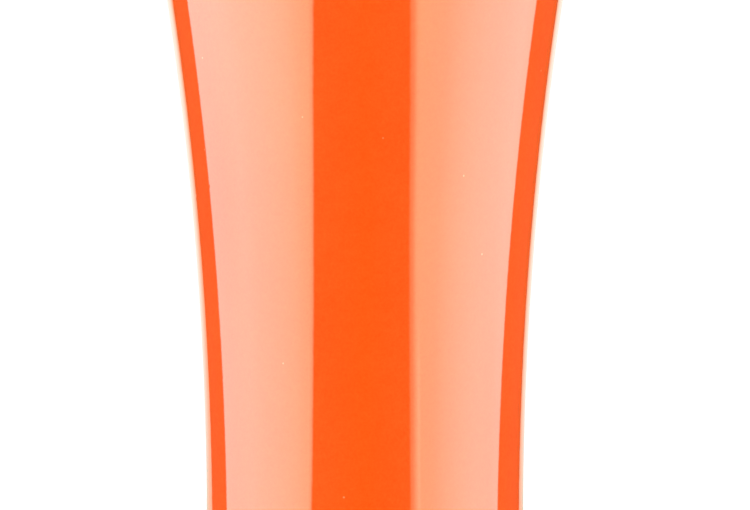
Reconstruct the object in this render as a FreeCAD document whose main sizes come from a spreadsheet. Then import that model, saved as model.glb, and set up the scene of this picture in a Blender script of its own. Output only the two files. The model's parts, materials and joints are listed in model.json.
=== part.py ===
import FreeCAD, Part
import Sketcher
import math
import os
from FreeCAD import Vector, Placement, Rotation

# Rubber brayer (hand ink roller).
#
# Everything is drawn with the roller's axle as the X axis, the shank and handle
# along +Y, and the rest stand on the -Z side. The whole brayer is then turned
# about X by the rest angle and lifted, so that it lies at rest: the stand's foot
# and the handle's swell both touch the plane Z = 0, with the roller clear of it.

doc = FreeCAD.newDocument("RubberBrayer")

# ---------------------------------------------------------------- dimensions
sheet = doc.addObject("Spreadsheet::Sheet", "Dims")
row_no = [0]


def dim(alias, value, note=""):
    row_no[0] += 1
    n = row_no[0]
    sheet.set("A%d" % n, alias)
    sheet.set("B%d" % n, ("%.6f" % value).rstrip("0").rstrip("."))
    sheet.set("C%d" % n, note)
    sheet.setAlias("B%d" % n, alias)


dim("rest_tilt", 4, "deg, handle axis below the horizontal at rest")
# roller
dim("sleeve_radius", 19, "outside of the soft rubber")
dim("sleeve_half", 50, "half of the rubber's length")
dim("sleeve_round", 1.0, "rounded rubber corner")
dim("core_radius", 13, "outside of the core tube")
dim("core_wall", 2, "")
dim("hub_flange_radius", 15.6, "")
dim("hub_flange_thick", 1.2, "")
dim("hub_plug_length", 14, "")
dim("hub_ring_inner", 8.6, "sunk ring in the hub face")
dim("hub_ring_outer", 13.9, "")
dim("hub_ring_depth", 0.6, "")
dim("bush_radius", 5.5, "")
dim("bush_bore", 4.05, "running bore radius on the axle")
dim("bush_length", 15, "")
dim("bush_flange_radius", 7.4, "")
dim("bush_flange_thick", 1.1, "")
# axle and its fasteners
dim("axle_radius", 4, "between the arms")
dim("axle_end_radius", 3, "threaded ends")
dim("axle_end_length", 10.2, "")
dim("thrust_thick", 1, "nylon thrust washer")
dim("thrust_radius", 7, "")
dim("washer_radius", 6.2, "")
dim("washer_thick", 1.2, "")
dim("cap_flats", 10, "across flats")
dim("cap_hex_height", 5.3, "")
dim("cap_dome_radius", 4.7, "")
dim("cap_bore_depth", 7.4, "")
# yoke
dim("arm_inner", 53.5, "half of the gap between the arms")
dim("bar_thick", 3, "")
dim("bar_width", 16, "")
dim("bend_radius", 8, "inside")
dim("bridge_inner", 34, "")
dim("arm_tip", 8, "arm past the axle")
dim("arm_end_hole", 3.1, "")
dim("tang_hole", 4.1, "")
dim("edge_round", 0.5, "")
# rest stand
dim("stand_thick", 2, "")
dim("stand_width", 64, "")
dim("stand_top", 8, "")
dim("stand_bend", 3, "inside")
dim("stand_front", 11, "front edge of the foot")
dim("window_width", 36, "")
dim("window_top", 10.5, "below the shank axis")
dim("window_front", 20, "")
dim("stand_corner", 6, "")
dim("rivet_x", 24, "")
dim("rivet_radius", 2, "")
dim("rivet_head_radius", 3.7, "")
dim("rivet_head_height", 1.7, "")
# shank
dim("tang_radius", 4, "")
dim("tang_tip", 23.4, "")
dim("tang_end", 106, "")
dim("collar_flats", 13, "")
dim("collar_thick", 4, "")
dim("nut_flats", 13, "")
dim("nut_height", 6.5, "")
dim("lock_thick", 2, "split lock washer")
dim("lock_radius", 6.6, "")
# ferrule
dim("ferrule_front", 61, "")
dim("ferrule_length", 22, "")
dim("ferrule_wall", 0.8, "")
dim("ferrule_corner", 4, "outside corner")
dim("ferrule_front_hole", 4.15, "")
dim("bead_height", 0.55, "rolled bead")
dim("bead_half", 1.1, "")
dim("pin_radius", 0.8, "")
dim("pin_length", 4.3, "short of the insert inside the tenon")
dim("pin_head_radius", 1.7, "")
dim("pin_head_height", 0.6, "")
# handle
dim("tenon_radius", 10, "")
dim("tenon_chamfer", 3.5, "")
dim("waist_radius", 10, "")
dim("waist_sweep", 221, "radius of the long hollow curve")
dim("waist_from_shoulder", 26, "shoulder round to the waist")
dim("waist_run", 38, "waist to the change of curve")
dim("shoulder_round", 1.8, "")
dim("swell_radius", 15.2, "largest radius")
dim("back_sweep", 34, "")
dim("butt_round", 9, "")
dim("insert_radius", 6, "")
dim("insert_length", 18, "")
dim("tang_bore_radius", 4.2, "")
dim("tang_bore_end", 109, "")
dim("hang_radius", 2.75, "hanging hole")
dim("hang_from_end", 12.5, "")
dim("hang_round", 1.0, "")
doc.recompute()


def num(expr):
    v = sheet.evalExpression(expr)
    return float(getattr(v, "Value", v))


# Lengths along the handle axis that follow from the ones above.
D = "Dims."
BRIDGE_OUT = "(Dims.bridge_inner + Dims.bar_thick)"
STAND_OUT = "(Dims.bridge_inner + Dims.bar_thick + Dims.stand_thick)"
FERRULE_BACK = "(Dims.ferrule_front + Dims.ferrule_length)"
PSI_FRONT = "asin(Dims.waist_from_shoulder / Dims.waist_sweep)"
SHOULDER_Y = "(" + FERRULE_BACK + " + Dims.shoulder_round * (1 + sin(" + PSI_FRONT + ")))"
WAIST_Y = "(" + SHOULDER_Y + " + Dims.waist_from_shoulder)"
SHOULDER_R = "(Dims.waist_radius + Dims.waist_sweep - sqrt(Dims.waist_sweep ^ 2 - Dims.waist_from_shoulder ^ 2))"
TURN_R = "(Dims.waist_radius + Dims.waist_sweep - sqrt(Dims.waist_sweep ^ 2 - Dims.waist_run ^ 2))"
TURN_Y = "(" + WAIST_Y + " + Dims.waist_run)"
PSI_BACK = "asin(Dims.waist_run / Dims.waist_sweep)"
SWELL_SWEEP = "((Dims.swell_radius - " + TURN_R + ") / (1 - cos(" + PSI_BACK + ")))"
SWELL_Y = "(" + TURN_Y + " + " + SWELL_SWEEP + " * Dims.waist_run / Dims.waist_sweep)"
DROP = "(Dims.back_sweep - Dims.swell_radius)"
BUTT_RUN = "sqrt((Dims.back_sweep - Dims.butt_round) ^ 2 - " + DROP + " ^ 2)"
BUTT_Y = "(" + SWELL_Y + " + " + BUTT_RUN + ")"
JOIN_Y = "(" + BUTT_Y + " + Dims.butt_round * " + BUTT_RUN + " / (Dims.back_sweep - Dims.butt_round))"
JOIN_R = "(Dims.butt_round * " + DROP + " / (Dims.back_sweep - Dims.butt_round))"
HANDLE_END = "(" + BUTT_Y + " + Dims.butt_round)"
ROUND_CY = "(" + FERRULE_BACK + " + Dims.shoulder_round)"
ROUND_CR = "(" + SHOULDER_R + " - Dims.shoulder_round * cos(" + PSI_FRONT + "))"
TENON_Y = "(" + ROUND_CY + " - sqrt(Dims.shoulder_round ^ 2 - (Dims.tenon_radius - " + ROUND_CR + ") ^ 2))"
HANG_Y = "(" + HANDLE_END + " - Dims.hang_from_end)"

# Height of the axle above the resting plane: the curve behind the swell is
# tangent to that plane. The foot of the stand is then drawn on the same plane.
tilt = math.radians(num("Dims.rest_tilt"))
height = (
    num(SWELL_Y) * math.sin(tilt)
    - (num("Dims.back_sweep") - num("Dims.swell_radius")) * math.cos(tilt)
    + num("Dims.back_sweep")
)
dim("axle_height", height, "axle above the resting plane")
# At rest the origin is under the middle of the overall length.
back = num(BUTT_Y) * math.cos(tilt) + num("Dims.butt_round")
dim("origin_back", (back - num("Dims.sleeve_radius")) / 2.0, "axle to the origin, along the floor")
doc.recompute()

REST = Placement(
    Vector(0, -num("Dims.origin_back"), num("Dims.axle_height")),
    Rotation(Vector(1, 0, 0), -num("Dims.rest_tilt")),
)
HALF_TURN = Placement(Vector(0, 0, 0), Rotation(Vector(0, 0, 1), 180))

nodes = []


def node(obj, label, local=None):
    """Names a finished sub-part and turns it to its place at rest."""
    obj.Label = label
    obj.Placement = REST if local is None else REST.multiply(local)
    nodes.append(obj)
    return obj


# ------------------------------------------------------------------- helpers
def new_body(name):
    return doc.addObject("PartDesign::Body", name)


def origin_item(body, role):
    return [f for f in body.Origin.OriginFeatures if f.Role == role][0]


def new_sketch(body, name, plane, offset=None):
    sk = body.newObject("Sketcher::SketchObject", name)
    sk.AttachmentSupport = [(origin_item(body, plane), "")]
    sk.MapMode = "FlatFace"
    if offset is not None:
        sk.AttachmentOffset = Placement(Vector(0, 0, num(offset)), Rotation())
        sk.setExpression("AttachmentOffset.Base.z", offset)
    return sk


def bound(sk, kind, args, expr, label):
    i = sk.addConstraint(Sketcher.Constraint(kind, *args, num(expr)))
    sk.renameConstraint(i, label)
    sk.setExpression("Constraints." + label, expr)


def outline(sk, points, arcs=None, tag="p"):
    """A closed outline. points are pairs of expressions; arcs maps the edge that
    starts at point i to (radius, side): side 1 has its centre to the left of travel."""
    arcs = arcs or {}
    n = len(points)
    xy = [(num(a), num(b)) for a, b in points]
    ids, ends = [], []
    for i in range(n):
        (x0, y0), (x1, y1) = xy[i], xy[(i + 1) % n]
        if i in arcs:
            r, side = num(arcs[i][0]), arcs[i][1]
            mx, my = (x0 + x1) / 2, (y0 + y1) / 2
            dx, dy = x1 - x0, y1 - y0
            c = math.hypot(dx, dy)
            lift = math.sqrt(max(r * r - c * c / 4, 0.0))
            cx, cy = mx - side * dy / c * lift, my + side * dx / c * lift
            a0, a1 = math.atan2(y0 - cy, x0 - cx), math.atan2(y1 - cy, x1 - cx)
            circle = Part.Circle(Vector(cx, cy, 0), Vector(0, 0, 1), r)
            if side > 0:
                if a1 < a0:
                    a1 += 2 * math.pi
                ids.append(sk.addGeometry(Part.ArcOfCircle(circle, a0, a1), False))
                ends.append((1, 2))
            else:
                if a0 < a1:
                    a0 += 2 * math.pi
                ids.append(sk.addGeometry(Part.ArcOfCircle(circle, a1, a0), False))
                ends.append((2, 1))
        else:
            ids.append(
                sk.addGeometry(
                    Part.LineSegment(Vector(x0, y0, 0), Vector(x1, y1, 0)), False
                )
            )
            ends.append((1, 2))
    for i in range(n):
        j = (i + 1) % n
        sk.addConstraint(
            Sketcher.Constraint("Coincident", ids[i], ends[i][1], ids[j], ends[j][0])
        )
    for i in range(n):
        g, e = ids[i], ends[i][0]
        if abs(xy[i][0]) < 1e-9:
            sk.addConstraint(Sketcher.Constraint("PointOnObject", g, e, -2))
        else:
            bound(sk, "DistanceX", (-1, 1, g, e), points[i][0], "%s%dx" % (tag, i))
        if abs(xy[i][1]) < 1e-9:
            sk.addConstraint(Sketcher.Constraint("PointOnObject", g, e, -1))
        else:
            bound(sk, "DistanceY", (-1, 1, g, e), points[i][1], "%s%dy" % (tag, i))
        if i in arcs:
            bound(sk, "Radius", (g,), arcs[i][0], "%s%dr" % (tag, i))
    return sk


def circle(sk, cx, cy, radius, tag="c"):
    x, y = num(cx), num(cy)
    g = sk.addGeometry(
        Part.Circle(Vector(x, y, 0), Vector(0, 0, 1), num(radius)), False
    )
    if abs(x) < 1e-9:
        sk.addConstraint(Sketcher.Constraint("PointOnObject", g, 3, -2))
    else:
        bound(sk, "DistanceX", (-1, 1, g, 3), cx, tag + "x")
    if abs(y) < 1e-9:
        sk.addConstraint(Sketcher.Constraint("PointOnObject", g, 3, -1))
    else:
        bound(sk, "DistanceY", (-1, 1, g, 3), cy, tag + "y")
    bound(sk, "Radius", (g,), radius, tag + "r")
    return sk


def hexagon(sk, flats, tag="h"):
    """A hexagon about the origin, two flats square to the sketch's second axis."""
    pts = []
    for k in range(6):
        c, s = math.cos(math.radians(60 * k)), math.sin(math.radians(60 * k))
        pts.append(
            (
                "%s / sqrt(3) * (%.12f)" % (flats, c),
                "%s / sqrt(3) * (%.12f)" % (flats, s),
            )
        )
    return outline(sk, pts, tag=tag)


def revolve(body, sk, axis, angle=360.0):
    f = body.newObject("PartDesign::Revolution", "Revolution")
    f.Profile = sk
    f.ReferenceAxis = (origin_item(body, axis), [""])
    f.Angle = angle
    sk.Visibility = False
    doc.recompute()
    return f


def groove(body, sk, axis):
    before = body.Shape.Volume
    f = body.newObject("PartDesign::Groove", "Groove")
    f.Profile = sk
    f.ReferenceAxis = (origin_item(body, axis), [""])
    f.Angle = 360.0
    doc.recompute()
    if not body.Shape.Volume < before - 1e-3:
        raise RuntimeError("a groove cut nothing from " + body.Name)
    return f


def pad(body, sk, length, symmetric=False, backward=False):
    f = body.newObject("PartDesign::Pad", "Pad")
    f.Profile = sk
    f.Length = num(length)
    f.setExpression("Length", length)
    if symmetric:
        f.SideType = "Symmetric"
    f.Reversed = backward
    doc.recompute()
    return f


def pocket(body, sk, length=None, symmetric=False, backward=False):
    before = body.Shape.Volume
    f = body.newObject("PartDesign::Pocket", "Pocket")
    f.Profile = sk
    if length is None:
        f.Type = "ThroughAll"
    else:
        f.Length = num(length)
        f.setExpression("Length", length)
    if symmetric:
        f.SideType = "Symmetric"
    f.Reversed = backward
    doc.recompute()
    if not body.Shape.Volume < before - 1e-3:
        raise RuntimeError("a pocket cut nothing from " + body.Name)
    return f


def polar(body, feature, axis, count):
    f = body.newObject("PartDesign::PolarPattern", "PolarPattern")
    f.Originals = [feature]
    f.Axis = (origin_item(body, axis), [""])
    f.Angle = 360.0
    f.Occurrences = count
    body.Tip = f
    doc.recompute()
    return f


def edges_where(body, test):
    """Names of the edges of the body's last solid whose two ends and middle pass the test."""
    names = []
    for i, e in enumerate(body.Tip.Shape.Edges):
        if e.Degenerated or len(e.Vertexes) == 0:
            continue
        p = [v.Point for v in e.Vertexes]
        m = e.valueAt((e.FirstParameter + e.LastParameter) / 2)
        if test(e, p, m):
            names.append("Edge%d" % (i + 1))
    return names


def fillet(body, names, radius):
    if not names:
        raise RuntimeError("no edges to round on " + body.Name)
    base = body.Tip
    f = body.newObject("PartDesign::Fillet", "Fillet")
    f.Base = (base, names)
    f.Radius = num(radius)
    f.setExpression("Radius", radius)
    doc.recompute()
    return f


def prim(kind, name, **sizes):
    o = doc.addObject(kind, name)
    for prop, expr in sizes.items():
        setattr(o, prop, num(expr))
        o.setExpression(prop, expr)
    return o


def boolean(kind, name, base, tool):
    o = doc.addObject(kind, name)
    o.Base = base
    o.Tool = tool
    return o


# --------------------------------------------------------------------- roller
# Soft rubber sleeve, bonded to the core tube.
b = new_body("SleeveBody")
SL, SR, CR = "Dims.sleeve_half", "Dims.sleeve_radius", "Dims.core_radius"
RR = "Dims.sleeve_round"
sk = new_sketch(b, "SleeveProfile", "XY_Plane")
outline(
    sk,
    [
        ("-" + SL, CR),
        (SL, CR),
        (SL, SR + " - " + RR),
        (SL + " - " + RR, SR),
        ("-(" + SL + " - " + RR + ")", SR),
        ("-" + SL, SR + " - " + RR),
    ],
    arcs={2: (RR, 1), 4: (RR, 1)},
)
revolve(b, sk, "X_Axis")
node(b, "rubber_sleeve")

# Aluminium core tube.
b = new_body("CoreBody")
CI = "(Dims.core_radius - Dims.core_wall)"
sk = new_sketch(b, "CoreProfile", "XY_Plane")
outline(sk, [("-" + SL, CI), (SL, CI), (SL, CR), ("-" + SL, CR)])
revolve(b, sk, "X_Axis")
node(b, "roller_core")

# End hubs, pressed into the tube, with a sunk ring and six dimples.
FX = "(Dims.sleeve_half + Dims.hub_flange_thick)"
for side, turn in (("right", None), ("left", HALF_TURN)):
    b = new_body("Hub_" + side)
    sk = new_sketch(b, "HubProfile_" + side, "XY_Plane")
    outline(
        sk,
        [
            (SL + " - Dims.hub_plug_length", "Dims.bush_radius"),
            (FX, "Dims.bush_radius"),
            (FX, "Dims.hub_ring_inner"),
            (FX + " - Dims.hub_ring_depth", "Dims.hub_ring_inner"),
            (FX + " - Dims.hub_ring_depth", "Dims.hub_ring_outer"),
            (FX, "Dims.hub_ring_outer"),
            (FX, "Dims.hub_flange_radius - 0.5"),
            (FX + " - 0.5", "Dims.hub_flange_radius"),
            (SL, "Dims.hub_flange_radius"),
            (SL, CI),
            (SL + " - Dims.hub_plug_length + 1", CI),
            (SL + " - Dims.hub_plug_length", CI + " - 1"),
        ],
        arcs={6: ("0.5", 1)},
    )
    revolve(b, sk, "X_Axis")
    sk = new_sketch(b, "HubDimple_" + side, "YZ_Plane", FX)
    circle(sk, "(Dims.hub_ring_inner + Dims.hub_ring_outer) / 2", "0", "1.5")
    cut = pocket(b, sk, "Dims.hub_ring_depth + 0.35")
    polar(b, cut, "X_Axis", 6)
    node(b, side + "_hub", turn)

# Flanged plain bushes: they turn with the roller on the fixed axle.
BX = "(" + FX + " + Dims.bush_flange_thick)"
for side, turn in (("right", None), ("left", HALF_TURN)):
    b = new_body("Bush_" + side)
    sk = new_sketch(b, "BushProfile_" + side, "XY_Plane")
    outline(
        sk,
        [
            (FX + " - Dims.bush_length", "Dims.bush_bore"),
            (BX, "Dims.bush_bore"),
            (BX, "Dims.bush_flange_radius - 0.3"),
            (BX + " - 0.3", "Dims.bush_flange_radius"),
            (FX, "Dims.bush_flange_radius"),
            (FX, "Dims.bush_radius"),
            (FX + " - Dims.bush_length", "Dims.bush_radius"),
        ],
    )
    revolve(b, sk, "X_Axis")
    node(b, side + "_bush", turn)

# ----------------------------------------------------------------------- axle
# Shouldered steel axle, clamped between the arms by the cap nuts.
b = new_body("AxleBody")
AI, AE = "Dims.arm_inner", "(Dims.arm_inner + Dims.axle_end_length)"
AR, ER = "Dims.axle_radius", "Dims.axle_end_radius"
sk = new_sketch(b, "AxleProfile", "XY_Plane")
outline(
    sk,
    [
        ("-" + AE, "0"),
        (AE, "0"),
        (AE, ER + " - 0.5"),
        (AE + " - 0.5", ER),
        (AI, ER),
        (AI, AR + " - 0.3"),
        (AI + " - 0.3", AR),
        ("-(" + AI + " - 0.3)", AR),
        ("-" + AI, AR + " - 0.3"),
        ("-" + AI, ER),
        ("-(" + AE + " - 0.5)", ER),
        ("-" + AE, ER + " - 0.5"),
    ],
)
revolve(b, sk, "X_Axis")
node(b, "axle")

# Nylon thrust washers, between each arm and its bush.
for side, turn in (("right", None), ("left", HALF_TURN)):
    b = new_body("Thrust_" + side)
    sk = new_sketch(b, "ThrustProfile_" + side, "XY_Plane")
    outline(
        sk,
        [
            (AI + " - Dims.thrust_thick", AR + " + 0.1"),
            (AI, AR + " + 0.1"),
            (AI, "Dims.thrust_radius"),
            (AI + " - Dims.thrust_thick", "Dims.thrust_radius"),
        ],
    )
    revolve(b, sk, "X_Axis")
    node(b, side + "_thrust_washer", turn)

# Plain washers under the cap nuts.
AO = "(Dims.arm_inner + Dims.bar_thick)"
WO = "(Dims.arm_inner + Dims.bar_thick + Dims.washer_thick)"
for side, turn in (("right", None), ("left", HALF_TURN)):
    b = new_body("Washer_" + side)
    sk = new_sketch(b, "WasherProfile_" + side, "XY_Plane")
    outline(
        sk,
        [
            (AO, ER + " + 0.1"),
            (WO, ER + " + 0.1"),
            (WO, "Dims.washer_radius - 0.25"),
            (WO + " - 0.25", "Dims.washer_radius"),
            (AO, "Dims.washer_radius"),
        ],
    )
    revolve(b, sk, "X_Axis")
    node(b, side + "_plain_washer", turn)

# Domed cap nuts.
for side, turn in (("right", None), ("left", HALF_TURN)):
    b = new_body("Cap_" + side)
    sk = new_sketch(b, "CapHex_" + side, "YZ_Plane", WO)
    hexagon(sk, "Dims.cap_flats")
    pad(b, sk, "Dims.cap_hex_height")
    CT = "(" + WO + " + Dims.cap_hex_height)"
    sk = new_sketch(b, "CapChamfer_" + side, "XY_Plane")
    outline(
        sk,
        [
            (CT, "Dims.cap_flats * 0.475"),
            (CT, "Dims.cap_flats * 0.65"),
            (CT + " - Dims.cap_flats * 0.175 * tan(30)", "Dims.cap_flats * 0.65"),
        ],
    )
    groove(b, sk, "X_Axis")
    sk = new_sketch(b, "CapBase_" + side, "XY_Plane")
    outline(
        sk,
        [
            (WO, "Dims.cap_flats * 0.5"),
            (WO + " + Dims.cap_flats * 0.15 * tan(30)", "Dims.cap_flats * 0.65"),
            (WO, "Dims.cap_flats * 0.65"),
        ],
    )
    groove(b, sk, "X_Axis")
    sk = new_sketch(b, "CapDome_" + side, "XY_Plane")
    outline(
        sk,
        [
            (CT + " - 0.5", "0"),
            (CT + " + Dims.cap_dome_radius", "0"),
            (CT, "Dims.cap_dome_radius"),
            (CT + " - 0.5", "Dims.cap_dome_radius"),
        ],
        arcs={1: ("Dims.cap_dome_radius", 1)},
    )
    revolve(b, sk, "X_Axis")
    sk = new_sketch(b, "CapBore_" + side, "YZ_Plane", WO)
    circle(sk, "0", "0", ER)
    pocket(b, sk, "Dims.cap_bore_depth", backward=True)
    node(b, side + "_cap_nut", turn)

# ----------------------------------------------------------------------- yoke
# One flat bar bent into a U, arms forward to the axle.
b = new_body("YokeBody")
BO, BI, BR = BRIDGE_OUT, "Dims.bridge_inner", "Dims.bend_radius"
OR = "(Dims.bend_radius + Dims.bar_thick)"
TIP = "-Dims.arm_tip"
sk = new_sketch(b, "YokeProfile", "XY_Plane")
outline(
    sk,
    [
        (AO, TIP),
        (AO, BO + " - " + OR),
        (AO + " - " + OR, BO),
        ("-(" + AO + " - " + OR + ")", BO),
        ("-" + AO, BO + " - " + OR),
        ("-" + AO, TIP),
        ("-" + AI, TIP),
        ("-" + AI, BI + " - " + BR),
        ("-(" + AI + " - " + BR + ")", BI),
        (AI + " - " + BR, BI),
        (AI, BI + " - " + BR),
        (AI, TIP),
    ],
    arcs={1: (OR, 1), 3: (OR, 1), 7: (BR, -1), 9: (BR, -1)},
)
pad(b, sk, "Dims.bar_width", symmetric=True)
# full round at each arm's end
tip = num("Dims.arm_tip")
fillet(
    b,
    edges_where(
        b, lambda e, p, m: all(abs(q.y + tip) < 1e-6 for q in p) and abs(p[0].z - p[1].z) < 1e-6 and abs(p[0].x - p[1].x) > 1
    ),
    "Dims.arm_tip - 0.05",
)
# soft edges all along the bar
half = num("Dims.bar_width") / 2
fillet(
    b,
    edges_where(b, lambda e, p, m: abs(abs(m.z) - half) < 1e-6 and abs(p[0].z - p[1].z) < 1e-6 and abs(m.y + tip) > 1e-3),
    "Dims.edge_round",
)
sk = new_sketch(b, "AxleHoles", "YZ_Plane")
circle(sk, "0", "0", "Dims.arm_end_hole")
pocket(b, sk, "2 * " + AO + " + 2", symmetric=True)
sk = new_sketch(b, "BridgeHoles", "XZ_Plane", "-Dims.bridge_inner - Dims.bar_thick / 2")
circle(sk, "0", "0", "Dims.tang_hole", "a")
circle(sk, "Dims.rivet_x", "0", "Dims.rivet_radius", "b")
circle(sk, "-Dims.rivet_x", "0", "Dims.rivet_radius", "d")
pocket(b, sk, "2 * Dims.bar_thick", symmetric=True)
node(b, "yoke")

# ----------------------------------------------------------------- rest stand
# Bent sheet: a leg behind the bridge, turned forward into a foot that lies on
# the resting plane, with one window cut through both.
b = new_body("StandBody")
TL = "Dims.rest_tilt * 1deg"


def floor_z(y, up="0"):
    """Height, square to the shank, of the plane that stands `up` above the resting plane."""
    return "((-Dims.axle_height + " + up + " + (" + y + ") * sin(" + TL + ")) / cos(" + TL + "))"


SO, TH = STAND_OUT, "Dims.stand_thick"
sk = new_sketch(b, "StandProfile", "YZ_Plane")
outline(
    sk,
    [
        (BO, "Dims.stand_top"),
        (BO, floor_z(BO, TH)),
        ("Dims.stand_front - " + TH + " * sin(" + TL + ")", floor_z("Dims.stand_front - " + TH + " * sin(" + TL + ")", TH)),
        ("Dims.stand_front", floor_z("Dims.stand_front")),
        (SO, floor_z(SO)),
        (SO, "Dims.stand_top"),
    ],
)
pad(b, sk, "Dims.stand_width", symmetric=True)
yi, yo = num(BO), num(SO)
fillet(
    b,
    edges_where(b, lambda e, p, m: abs(p[0].x - p[1].x) > 10 and abs(m.y - yi) < 1e-4 and m.z < -10),
    "Dims.stand_bend",
)
fillet(
    b,
    edges_where(b, lambda e, p, m: abs(p[0].x - p[1].x) > 10 and abs(m.y - yo) < 1e-4 and m.z < -10),
    "Dims.stand_bend + Dims.stand_thick",
)
front = num("Dims.stand_front")
fillet(
    b,
    edges_where(
        b,
        lambda e, p, m: abs(p[0].x - p[1].x) < 1e-6
        and ((m.y < front + 0.5 and m.z < -10) or (abs(p[0].z - p[1].z) < 1e-6 and m.z > num("Dims.stand_top") - 1e-3)),
    ),
    "Dims.stand_corner",
)
WW, WR = "(Dims.window_width / 2)", "3"
# window through the leg and the bend
sk = new_sketch(b, "LegWindow", "XZ_Plane", "-" + SO + " - 5")
WT = "-Dims.window_top"
outline(
    sk,
    [
        (WW, "-Dims.axle_height - 2"),
        (WW, WT + " - " + WR),
        (WW + " - " + WR, WT),
        ("-(" + WW + " - " + WR + ")", WT),
        ("-" + WW, WT + " - " + WR),
        ("-" + WW, "-Dims.axle_height - 2"),
    ],
    arcs={1: (WR, 1), 3: (WR, 1)},
)
pocket(b, sk, "5 + Dims.stand_thick + Dims.stand_bend", backward=True)
if abs(b.Shape.BoundBox.YMax - yo) > 1e-3:
    raise RuntimeError("the leg's window missed")
# window through the foot
sk = new_sketch(b, "FootWindow", "XY_Plane", "-Dims.axle_height - 3")
WF, WB = "Dims.window_front", "(" + SO + " + 2)"
outline(
    sk,
    [
        (WW, WB),
        ("-" + WW, WB),
        ("-" + WW, WF + " + " + WR),
        ("-(" + WW + " - " + WR + ")", WF),
        (WW + " - " + WR, WF),
        (WW, WF + " + " + WR),
    ],
    arcs={2: (WR, 1), 4: (WR, 1)},
)
pocket(b, sk, "10", backward=True)
sk = new_sketch(b, "LegHoles", "XZ_Plane", "-" + BO + " - Dims.stand_thick / 2")
circle(sk, "0", "0", "Dims.tang_hole", "a")
circle(sk, "Dims.rivet_x", "0", "Dims.rivet_radius", "b")
circle(sk, "-Dims.rivet_x", "0", "Dims.rivet_radius", "d")
pocket(b, sk, "2 * Dims.stand_thick", symmetric=True)
node(b, "rest_stand")

# Two rivets join the stand to the bridge: shank with a domed head at each end.
HEAD_R = "((Dims.rivet_head_radius ^ 2 + Dims.rivet_head_height ^ 2) / (2 * Dims.rivet_head_height))"
rivets = []
for k, sx in enumerate((1, -1)):
    x = sx * num("Dims.rivet_x")
    shank = prim("Part::Cylinder", "RivetShank%d" % k, Radius="Dims.rivet_radius", Height="Dims.bar_thick + Dims.stand_thick")
    shank.Placement = Placement(Vector(x, num(BI), 0), Rotation(Vector(1, 0, 0), -90))
    heads = []
    for tag, at, direction in (("In", num(BI), 1), ("Out", num(SO), -1)):
        cap = prim("Part::Sphere", "RivetHead%s%d" % (tag, k), Radius=HEAD_R)
        cap.Angle1 = num("asin((" + HEAD_R + " - Dims.rivet_head_height) / " + HEAD_R + ")")
        cap.setExpression("Angle1", "asin((" + HEAD_R + " - Dims.rivet_head_height) / " + HEAD_R + ")")
        cap.Angle2 = 90
        lift = num(HEAD_R + " - Dims.rivet_head_height")
        cap.Placement = Placement(Vector(x, at + direction * lift, 0), Rotation(Vector(1, 0, 0), 90 * direction))
        heads.append(cap)
    one = boolean("Part::Fuse", "RivetA%d" % k, shank, heads[0])
    two = boolean("Part::Fuse", "RivetB%d" % k, one, heads[1])
    rivets.append(two)
group = doc.addObject("Part::Compound", "StandRivets")
group.Links = rivets
doc.recompute()
node(group, "stand_rivets")

# ---------------------------------------------------------------------- shank
# Steel shank: threaded tip through the bridge, hexagonal collar against the
# stand, then a plain rod into the handle.
b = new_body("ShankBody")
TR, TT, TE = "Dims.tang_radius", "Dims.tang_tip", "Dims.tang_end"
sk = new_sketch(b, "ShankProfile", "XY_Plane")
outline(
    sk,
    [
        ("0", TT),
        (TR + " - 0.8", TT),
        (TR, TT + " + 0.8"),
        (TR, TE + " - 0.8"),
        (TR + " - 0.8", TE),
        ("0", TE),
    ],
)
revolve(b, sk, "Y_Axis")
sk = new_sketch(b, "CollarHex", "XZ_Plane", "-" + SO)
hexagon(sk, "Dims.collar_flats")
pad(b, sk, "Dims.collar_thick", backward=True)
CE = "(" + SO + " + Dims.collar_thick)"
sk = new_sketch(b, "CollarChamfer", "XY_Plane")
outline(
    sk,
    [
        ("Dims.collar_flats * 0.475", CE),
        ("Dims.collar_flats * 0.65", CE + " - Dims.collar_flats * 0.175 * tan(30)"),
        ("Dims.collar_flats * 0.65", CE),
    ],
)
groove(b, sk, "Y_Axis")
node(b, "shank")

# Split lock washer, closed up flat.
b = new_body("LockWasherBody")
sk = new_sketch(b, "LockWasherProfile", "XY_Plane")
LW = "(" + BI + " - Dims.lock_thick)"
outline(
    sk,
    [
        (TR + " + 0.1", LW),
        ("Dims.lock_radius", LW),
        ("Dims.lock_radius", BI),
        (TR + " + 0.1", BI),
    ],
)
revolve(b, sk, "Y_Axis", 351.0)
node(b, "lock_washer")

# Hexagon nut that pulls the shank tight.
b = new_body("NutBody")
NF = "(" + LW + " - Dims.nut_height)"
sk = new_sketch(b, "NutHex", "XZ_Plane", "-" + LW)
hexagon(sk, "Dims.nut_flats")
pad(b, sk, "Dims.nut_height")
for tag, face, sign in (("Front", NF, " + "), ("Back", LW, " - ")):
    sk = new_sketch(b, "NutChamfer" + tag, "XY_Plane")
    ring = [
        ("Dims.nut_flats * 0.475", face),
        ("Dims.nut_flats * 0.65", face),
        ("Dims.nut_flats * 0.65", face + sign + "Dims.nut_flats * 0.175 * tan(30)"),
    ]
    outline(sk, ring)
    groove(b, sk, "Y_Axis")
sk = new_sketch(b, "NutBore", "XZ_Plane", "-" + LW)
circle(sk, "0", "0", TR)
pocket(b, sk, "2 * Dims.nut_height + 4", symmetric=True)
node(b, "shank_nut")

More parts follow.
